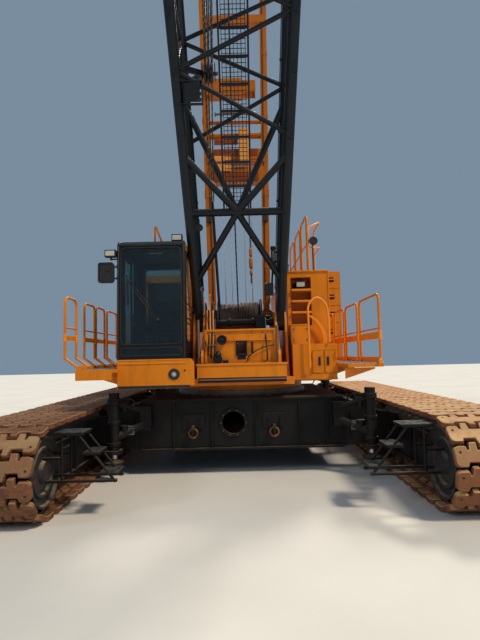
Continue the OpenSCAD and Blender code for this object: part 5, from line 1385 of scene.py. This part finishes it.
class CRANE_OT_boom(bpy.types.Operator):
    """Adds section pins, roller bracket, ropes, lamp, cables and mesh to the boom"""
    bl_idname = "crane.boom"
    bl_label = "Boom"

    def execute(self, context):
        thin_rope = context.scene.crane_sizes.rope * 0.42
        along, back = ways(on_boom)
        lugs = Shape("section_lugs", "paint_black", 0.003)
        pins = Shape("section_pins", "bare_steel")
        black = Shape("boom_brackets", "paint_black", 0.003)
        cable = Shape("boom_cables", "rubber")
        mesh = Shape("walkway_mesh", "paint_black")
        # Forked lugs and pins where the sections meet
        for at in (boom_corner(side, face, s) for s in BOOM_JOINTS for side in ENDS
                   for face in ENDS):
            for x in (-0.05, 0.0, 0.05):
                reach = 0.17 if x else 0.15
                lugs.plate([(-0.075, -reach), (0.075, -reach), (0.095, 0), (0.075, reach),
                            (-0.075, reach), (-0.095, 0)],
                           at + X * (x - 0.012), back, along, 0.024)
            pins.turned(at - X * 0.1, X, [(0.03, 0), (0.042, 0.01), (0.042, 0.19), (0.03, 0.2)],
                        18)
            for end in (-0.14, 0.14):
                lugs.turned(at + along * (end - 0.012), along, [(0.1, 0), (0.1, 0.024)], 24)
        # Gussets where the lacing's corners meet the chords of the foot section
        for s, side in ((s, side) for s in (3.35, 4.33, 5.15, 5.93, 6.66) for side in ENDS):
            at = boom_corner(side, -1, s) - back * 0.082
            lugs.plate([(-0.11, -0.05), (0.11, -0.05), (0.06, 0.04), (-0.06, 0.04)],
                       at - back * 0.006, along, -X * side, 0.01)
        # Roller bracket on the right chord, with its frame, rollers and bolts
        at = boom_corner(-1, -1, 4.0) + X * 0.24 - back * 0.03
        for x in (-0.13, 0.15):
            black.plate([(-0.02, -0.2), (0.22, -0.14), (0.22, 0.16), (-0.02, 0.2)],
                        at + X * x, back, along, 0.018)
        for t in (-0.17, 0.17):
            black.bar(at + X * -0.24 + along * t, at + X * 0.17 + along * t, 0.12, 0.02, along)
        black.plate([(-0.12, -0.16), (0.13, -0.1), (0.13, 0.17), (-0.12, 0.13)],
                    at - back * 0.045, X, along, 0.016)
        for t in (-0.09, 0.0, 0.09):
            pins.turned(at + X * -0.11 + along * t + back * 0.07, X,
                        [(0.024, 0), (0.032, 0.02), (0.032, 0.23), (0.024, 0.25)], 16)
        # Deflector sheaves inside the boom, and the ropes that run over them
        middle = on_boom(-0.43, -0.1, 4.4)
        pack = Shape("deflector_sheaves", "bare_steel")
        for k in (-1, 0, 1):
            pack.turned(middle + X * (k * 0.055 - 0.022), X, [
                (0.06, 0), (0.15, 0), (0.165, 0.006), (0.14, 0.018), (0.14, 0.026),
                (0.165, 0.038), (0.15, 0.044), (0.06, 0.044)], 32)
        pack.rod(middle - X * 0.16, middle + X * 0.16, 0.03)
        for face in ENDS:
            black.bar(boom_corner(-1, face, 4.4), middle - X * 0.1 + back * face * 0.02,
                      0.05, 0.09)
        for x in (-0.115, 0.1):
            black.plate([(-0.1, -0.1), (0.1, -0.1), (0.06, 0.16), (-0.06, 0.16)],
                        middle + X * x, back, along, 0.014)
        pack.piece("boom")
        ropes = Shape("boom_ropes", "rope_steel")
        # Each rope comes up from the foot over its sheave, and two parts of it fan out above
        for k in (-1, 0, 1):
            start = middle + X * (k * 0.055) - back * 0.14
            ropes.pipe(straight(on_boom(-0.45 + k * 0.03, -0.16, 2.3), start, 6), thin_rope, 7)
            for x, shift in ((-0.26, 0.0), (-0.08, 0.28)):
                top = on_boom(x + k * 0.11, -0.3, BOOM_L - 0.4)
                ropes.pipe(straight(start + back * shift, top, 12), thin_rope, 7)
        ropes.piece("boom")
        # Switch box and damper on the left chord, and the rope guard that stands on the shaft
        switch, damper = on_boom(0.555, -0.16, 0.66), on_boom(0.64, -0.12, 1.28)
        black.bar(switch - along * 0.1, switch + along * 0.13, 0.17, 0.1, back)
        black.bar(switch + X * 0.06 + along * 0.12, on_boom(0.64, -0.12, 1.14), 0.03, 0.03)
        pins.turned(damper - along * 0.17, along, [(0.03, 0), (0.042, 0.01), (0.042, 0.28),
                                                   (0.03, 0.29)], 16)
        black.turned(damper + along * 0.12, along, [(0.048, 0), (0.048, 0.06), (0.03, 0.075)],
                     16)
        for t in (-0.1, 0.08):
            black.bar(damper + along * t, boom_corner(1, -1, 1.3 + t), 0.03, 0.03)
        black.rod(on_boom(-0.39, 0.0, 0.0), on_boom(-0.39, 0.0, 0.36), 0.014, 10)
        black.rod(on_boom(-0.39, 0.0, 0.34), on_boom(-0.455, 0.0, 2.3), 0.026, 14)
        black.bar(on_boom(-0.45, 0.0, 2.1), on_boom(-0.455, -0.5, 2.1), 0.03, 0.03)
        # Small lamp on the crossbar and cables clipped along three chords
        lamp = on_boom(-0.66, -0.62, 1.86)
        black.turned(lamp, -back, [(0.03, -0.05), (0.06, -0.02), (0.065, 0.03), (0.05, 0.035)],
                     20)
        black.rod(lamp + along * 0.02, lamp + along * 0.14, 0.012, 8)
        for side, face, r in ((1, -1, 0.011), (-1, 1, 0.014), (1, 1, 0.009)):
            line = [boom_corner(side, face, 0.6 + k * 0.42) - X * side * 0.098
                    for k in range(40)]
            cable.pipe(line, r, 6)
            for p in line[1::3]:
                cable.turned(p - along * 0.02, along, [(r + 0.008, 0), (r + 0.008, 0.04)], 8)
        # Mesh treads and edge rails on the walkway, black as painted shade
        low, high = WALKWAY

        def tread(x, s):
            return on_boom(x, 0.086 - stepped(BOOM_DEPTHS, s) / 2, s)

        for s in (low + k * MESH for k in range(int((high - low) / MESH))):
            mesh.bar(tread(-0.2, s), tread(0.2, s), 0.01, 0.008, back)
        for x in (-0.19 + k * 0.063 for k in range(7)):
            line = [tread(x, s) for s in (low, *BOOM_JOINTS, high)]
            for p, q in zip(line, line[1:]):
                mesh.bar(p, q, 0.01, 0.008, back)
        make("boom", lugs, pins, black, cable, mesh)
        return {"FINISHED"}


class CRANE_OT_mast(bpy.types.Operator):
    """Adds plates, bolts, limit gear and sheave guards to the mast"""
    bl_idname = "crane.mast"
    bl_label = "Mast"

    def execute(self, context):
        bolt = context.scene.crane_sizes.bolt
        along, back = ways(on_mast)
        plates = Shape("mast_plates", "mast_enamel", 0.002)
        shade = Shape("mast_shade", "mast_shade", 0.002)
        lit = Shape("mast_covers", "mast_lit", 0.004)
        bolts, dark = Shape("mast_bolts", "bare_steel"), Shape("mast_cables", "rubber")
        steel = Shape("mast_rods", "bare_steel", 0.002)
        for s, high, deep in ((3.15, 0.38, 0.22), (3.65, 0.32, 0.22), (5.35, 0.42, 0.26)):
            for face in ENDS:
                at = on_mast(0, face * (deep / 2 + 0.005), s + high / 2)
                plates.bar(at - X * 0.5, at + X * 0.5, 0.01, high * 0.7, along)
                for x, z in ((x, z) for x in (-0.44, -0.2, 0.2, 0.44) for z in (-0.27, 0.27)):
                    bolts.bolt(at + X * x + along * z * high, back * face, bolt * 0.4)
        # Bands on the lower beams: lighter covers, painted light, and darker bands, painted shade
        for shape, x0, x1, low, high, out in (
                (shade, -0.5, 0.5, 3.18, 3.39, 0.0), (lit, -0.51, -0.13, 3.41, 3.585, 0.01),
                (lit, -0.5, -0.13, 3.655, 3.785, 0.01), (shade, -0.5, 0.5, 3.79, 3.96, 0.0),
                (shade, -0.5, 0.05, 4.07, 4.2, -0.01), (lit, 0.07, 0.29, 3.6, 4.42, 0.05)):
            at, half = on_mast((x0 + x1) / 2, -0.128 - out, (low + high) / 2), X * (x1 - x0) / 2
            shape.bar(at - half, at + half, 0.012 + 2 * out, high - low, along)
        for _, side in SIDES:
            # Cover plates on the front, the back and the outside of the legs' welds
            for s in (1.2, 2.9, 4.75, 6.5, 8.2):
                at, reach = mast_leg(side, s), along * 0.09
                for out, width, height in ((back * -0.084, 0.13, 0.01), (back * 0.084, 0.13, 0.01),
                                           (X * side * 0.084, 0.01, 0.13)):
                    plates.bar(at - reach + out, at + reach + out, width, height, back)
            # Box of the angle limit switch, and a cable on each leg
            at = mast_leg(side, 2.2) - back * 0.1
            dark.bar(at, at + along * 0.18, 0.1, 0.07, back)
            dark.pipe([mast_leg(side, 0.4 + k * 0.5) - back * 0.09 - X * side * 0.03
                       for k in range(17)], 0.011, 6)
        # Rod with its nuts over the beams, and the hanging buffer
        rod = on_mast(0, -0.16, 4.82)
        steel.rod(rod - X * 0.46, rod + X * 0.46, 0.024, 14)
        for x in (-0.46, -0.3, 0.28, 0.44):
            steel.turned(rod + X * (x - 0.02), X, [(0.045, 0), (0.045, 0.04)], 6)
        hang = on_mast(0.27, -0.18, 1.25)
        for foot, top, wide in ((-0.32, -0.2, 0.032), (-0.16, 0.08, 0.042), (0.1, 0.3, 0.034)):
            plates.turned(hang, along, [(wide * 0.5, foot), (wide, foot + 0.02),
                                        (wide, top - 0.02), (wide * 0.5, top)], 16)
        dark.pipe([hang - along * 0.5, hang + along * 0.3, on_mast(0.25, -0.15, 3.2)], 0.014, 6)
        # Keeper plates at the head's axle, and guards round the sheaves
        for _, side in SIDES:
            at = on_mast(side * 0.74, *MAST_AXLE)
            steel.turned(at, X * side, [(0.09, 0), (0.09, 0.02), (0.05, 0.03)], 20)
            bolts.bolts(at + X * side * 0.02, back, along, 0.07, 6, X * side, bolt * 0.3)
        for x in (-0.5, 0.5):
            plates.pipe(arc(on_mast(x, *MAST_AXLE), back, along, 0.33, -50, 90, 14), 0.014, 8)
        make("mast", plates, shade, lit, bolts, dark, steel)
        return {"FINISHED"}


class CRANE_OT_hook(bpy.types.Operator):
    """Adds cheek rings and bolts to the hook block, and a latch to the hook"""
    bl_idname = "crane.hook_gear"
    bl_label = "Hook gear"

    def execute(self, context):
        bolt = context.scene.crane_sizes.bolt
        low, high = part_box("hook_block")
        middle = (low + high) / 2
        cheeks = Shape("block_cheeks", "paint_black", 0.003)
        bolts = Shape("block_bolts", "bare_steel")
        for x, out in ((low.x, -1), (high.x, 1)):
            for z, y in ((z, y) for z in (-0.2, 0, 0.2) for y in (-0.14, 0.14)):
                bolts.bolt((x, middle.y + y, middle.z + z), X * out, bolt * 0.5)
            cheeks.ring((x + out * 0.004, middle.y, middle.z + 0.1), X, 0.09, 0.13, 0.012, 28)
        make("hook_block", cheeks, bolts)
        low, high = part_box("hook")
        middle = (low + high) / 2
        # Spring latch across the throat, on its pin
        latch, pin = Shape("hook_latch", "bare_steel", 0.002), middle + Vector((0, -0.02, 0.16))
        latch.bar(pin, middle + Vector((0, 0.15, 0.03)), 0.05, 0.012)
        latch.turned(pin - X * 0.045, X, [(0.016, 0), (0.016, 0.09)], 14)
        latch.piece("hook")
        return {"FINISHED"}


class CRANE_OT_stage(bpy.types.Operator):
    """Adds the floor, the lights and the camera between the two tracks"""
    bl_idname = "crane.stage"
    bl_label = "Stage"

    def execute(self, context):
        scene = context.scene
        floor = Shape("floor", "rubber").box((-60, -60, -0.3), (60, 60, -0.002))
        ground = floor.piece("undercarriage")
        # Power-floated concrete: matt, with cloudy lighter patches
        material, node, shader, metres = new_material("cast_concrete")
        cloudy = node("TexNoise", {"Vector": metres, "Scale": 1000 / 1800, "Detail": 4.0})
        shader({"Base Color": node("MixRGB", {
                    0: node("MapRange", {0: cloudy, 1: 0.3, 2: 0.7, 4: 0.3}),
                    1: list(scene.crane_paint.floor), 2: srgb("#C9C2B4")}),
                "Roughness": 0.9})
        ground.data.materials.clear()
        ground.data.materials.append(material)
        world = bpy.data.worlds.new("studio")
        world.use_nodes = True
        plug(world.node_tree.nodes["Background"], {"Color": srgb("#B4D0EA"), "Strength": 0.42})
        scene.world = world
        # Turn about X and Z in degrees, then strength and colour of each light
        for name, tilt, turn, strength, colour in (
                ("key", 42, 52, 2.1, "#FFF1DC"), ("fill", 62, -50, 0.35, "#E8F0FF"),
                ("back", 46, 160, 1.5, "#FFF6EA")):
            light = bpy.data.lights.new(name, "SUN")
            light.energy, light.angle = strength, math.radians(9)
            light.color = srgb(colour)[:3]
            lamp = bpy.data.objects.new(name, light)
            lamp.rotation_euler = (math.radians(tilt), 0, math.radians(turn))
            scene.collection.objects.link(lamp)
        camera = bpy.data.cameras.new("photo")
        # The lens that makes the crane as wide as it is in a 480 x 640 frame
        camera.lens, camera.sensor_width = 26.4, 36
        camera.clip_end = 400
        view = bpy.data.objects.new("photo", camera)
        pitch, roll = 4.3, -1.4
        sizes = scene.crane_sizes
        view.matrix_world = (Matrix.Translation((0, -sizes.distance, sizes.eye))
                             @ Matrix.Rotation(math.radians(90 + pitch), 4, "X")
                             @ Matrix.Rotation(math.radians(roll), 4, "Z"))
        scene.collection.objects.link(view)
        scene.camera = view
        scene.view_settings.view_transform = "Standard"
        return {"FINISHED"}


GROUPS = (CRANE_OT_finish_frame, CRANE_OT_tracks, CRANE_OT_running_gear, CRANE_OT_carbody,
          CRANE_OT_jacks_and_steps, CRANE_OT_winch_ropes, CRANE_OT_centre,
          CRANE_OT_machine_house, CRANE_OT_cab, CRANE_OT_lamps_and_mirror, CRANE_OT_walks,
          CRANE_OT_weights, CRANE_OT_boom, CRANE_OT_mast, CRANE_OT_hook, CRANE_OT_stage)


class CRANE_PT_panel(bpy.types.Panel):
    """Lists the crane's groups of pieces"""
    bl_label = "Crawler crane"
    bl_idname = "CRANE_PT_panel"
    bl_space_type = "VIEW_3D"
    bl_region_type = "UI"
    bl_category = "Crane"

    def draw(self, context):
        for group in (context.scene.crane_paint, context.scene.crane_sizes):
            box = self.layout.box()
            for key in group.bl_rna.properties.keys():
                if key not in ("rna_type", "name"):
                    box.prop(group, key)
        for operator in GROUPS:
            self.layout.operator(operator.bl_idname)


CLASSES = (CranePaint, CraneSizes, *GROUPS, CRANE_PT_panel)


def register():
    for each in CLASSES:
        bpy.utils.register_class(each)
    bpy.types.Scene.crane_paint = PointerProperty(type=CranePaint)
    bpy.types.Scene.crane_sizes = PointerProperty(type=CraneSizes)


def unregister():
    del bpy.types.Scene.crane_paint
    del bpy.types.Scene.crane_sizes
    for each in reversed(CLASSES):
        bpy.utils.unregister_class(each)


def main():
    register()
    for operator in GROUPS:
        family, name = operator.bl_idname.split(".")
        getattr(getattr(bpy.ops, family), name)()
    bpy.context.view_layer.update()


if __name__ == "__main__":
    main()
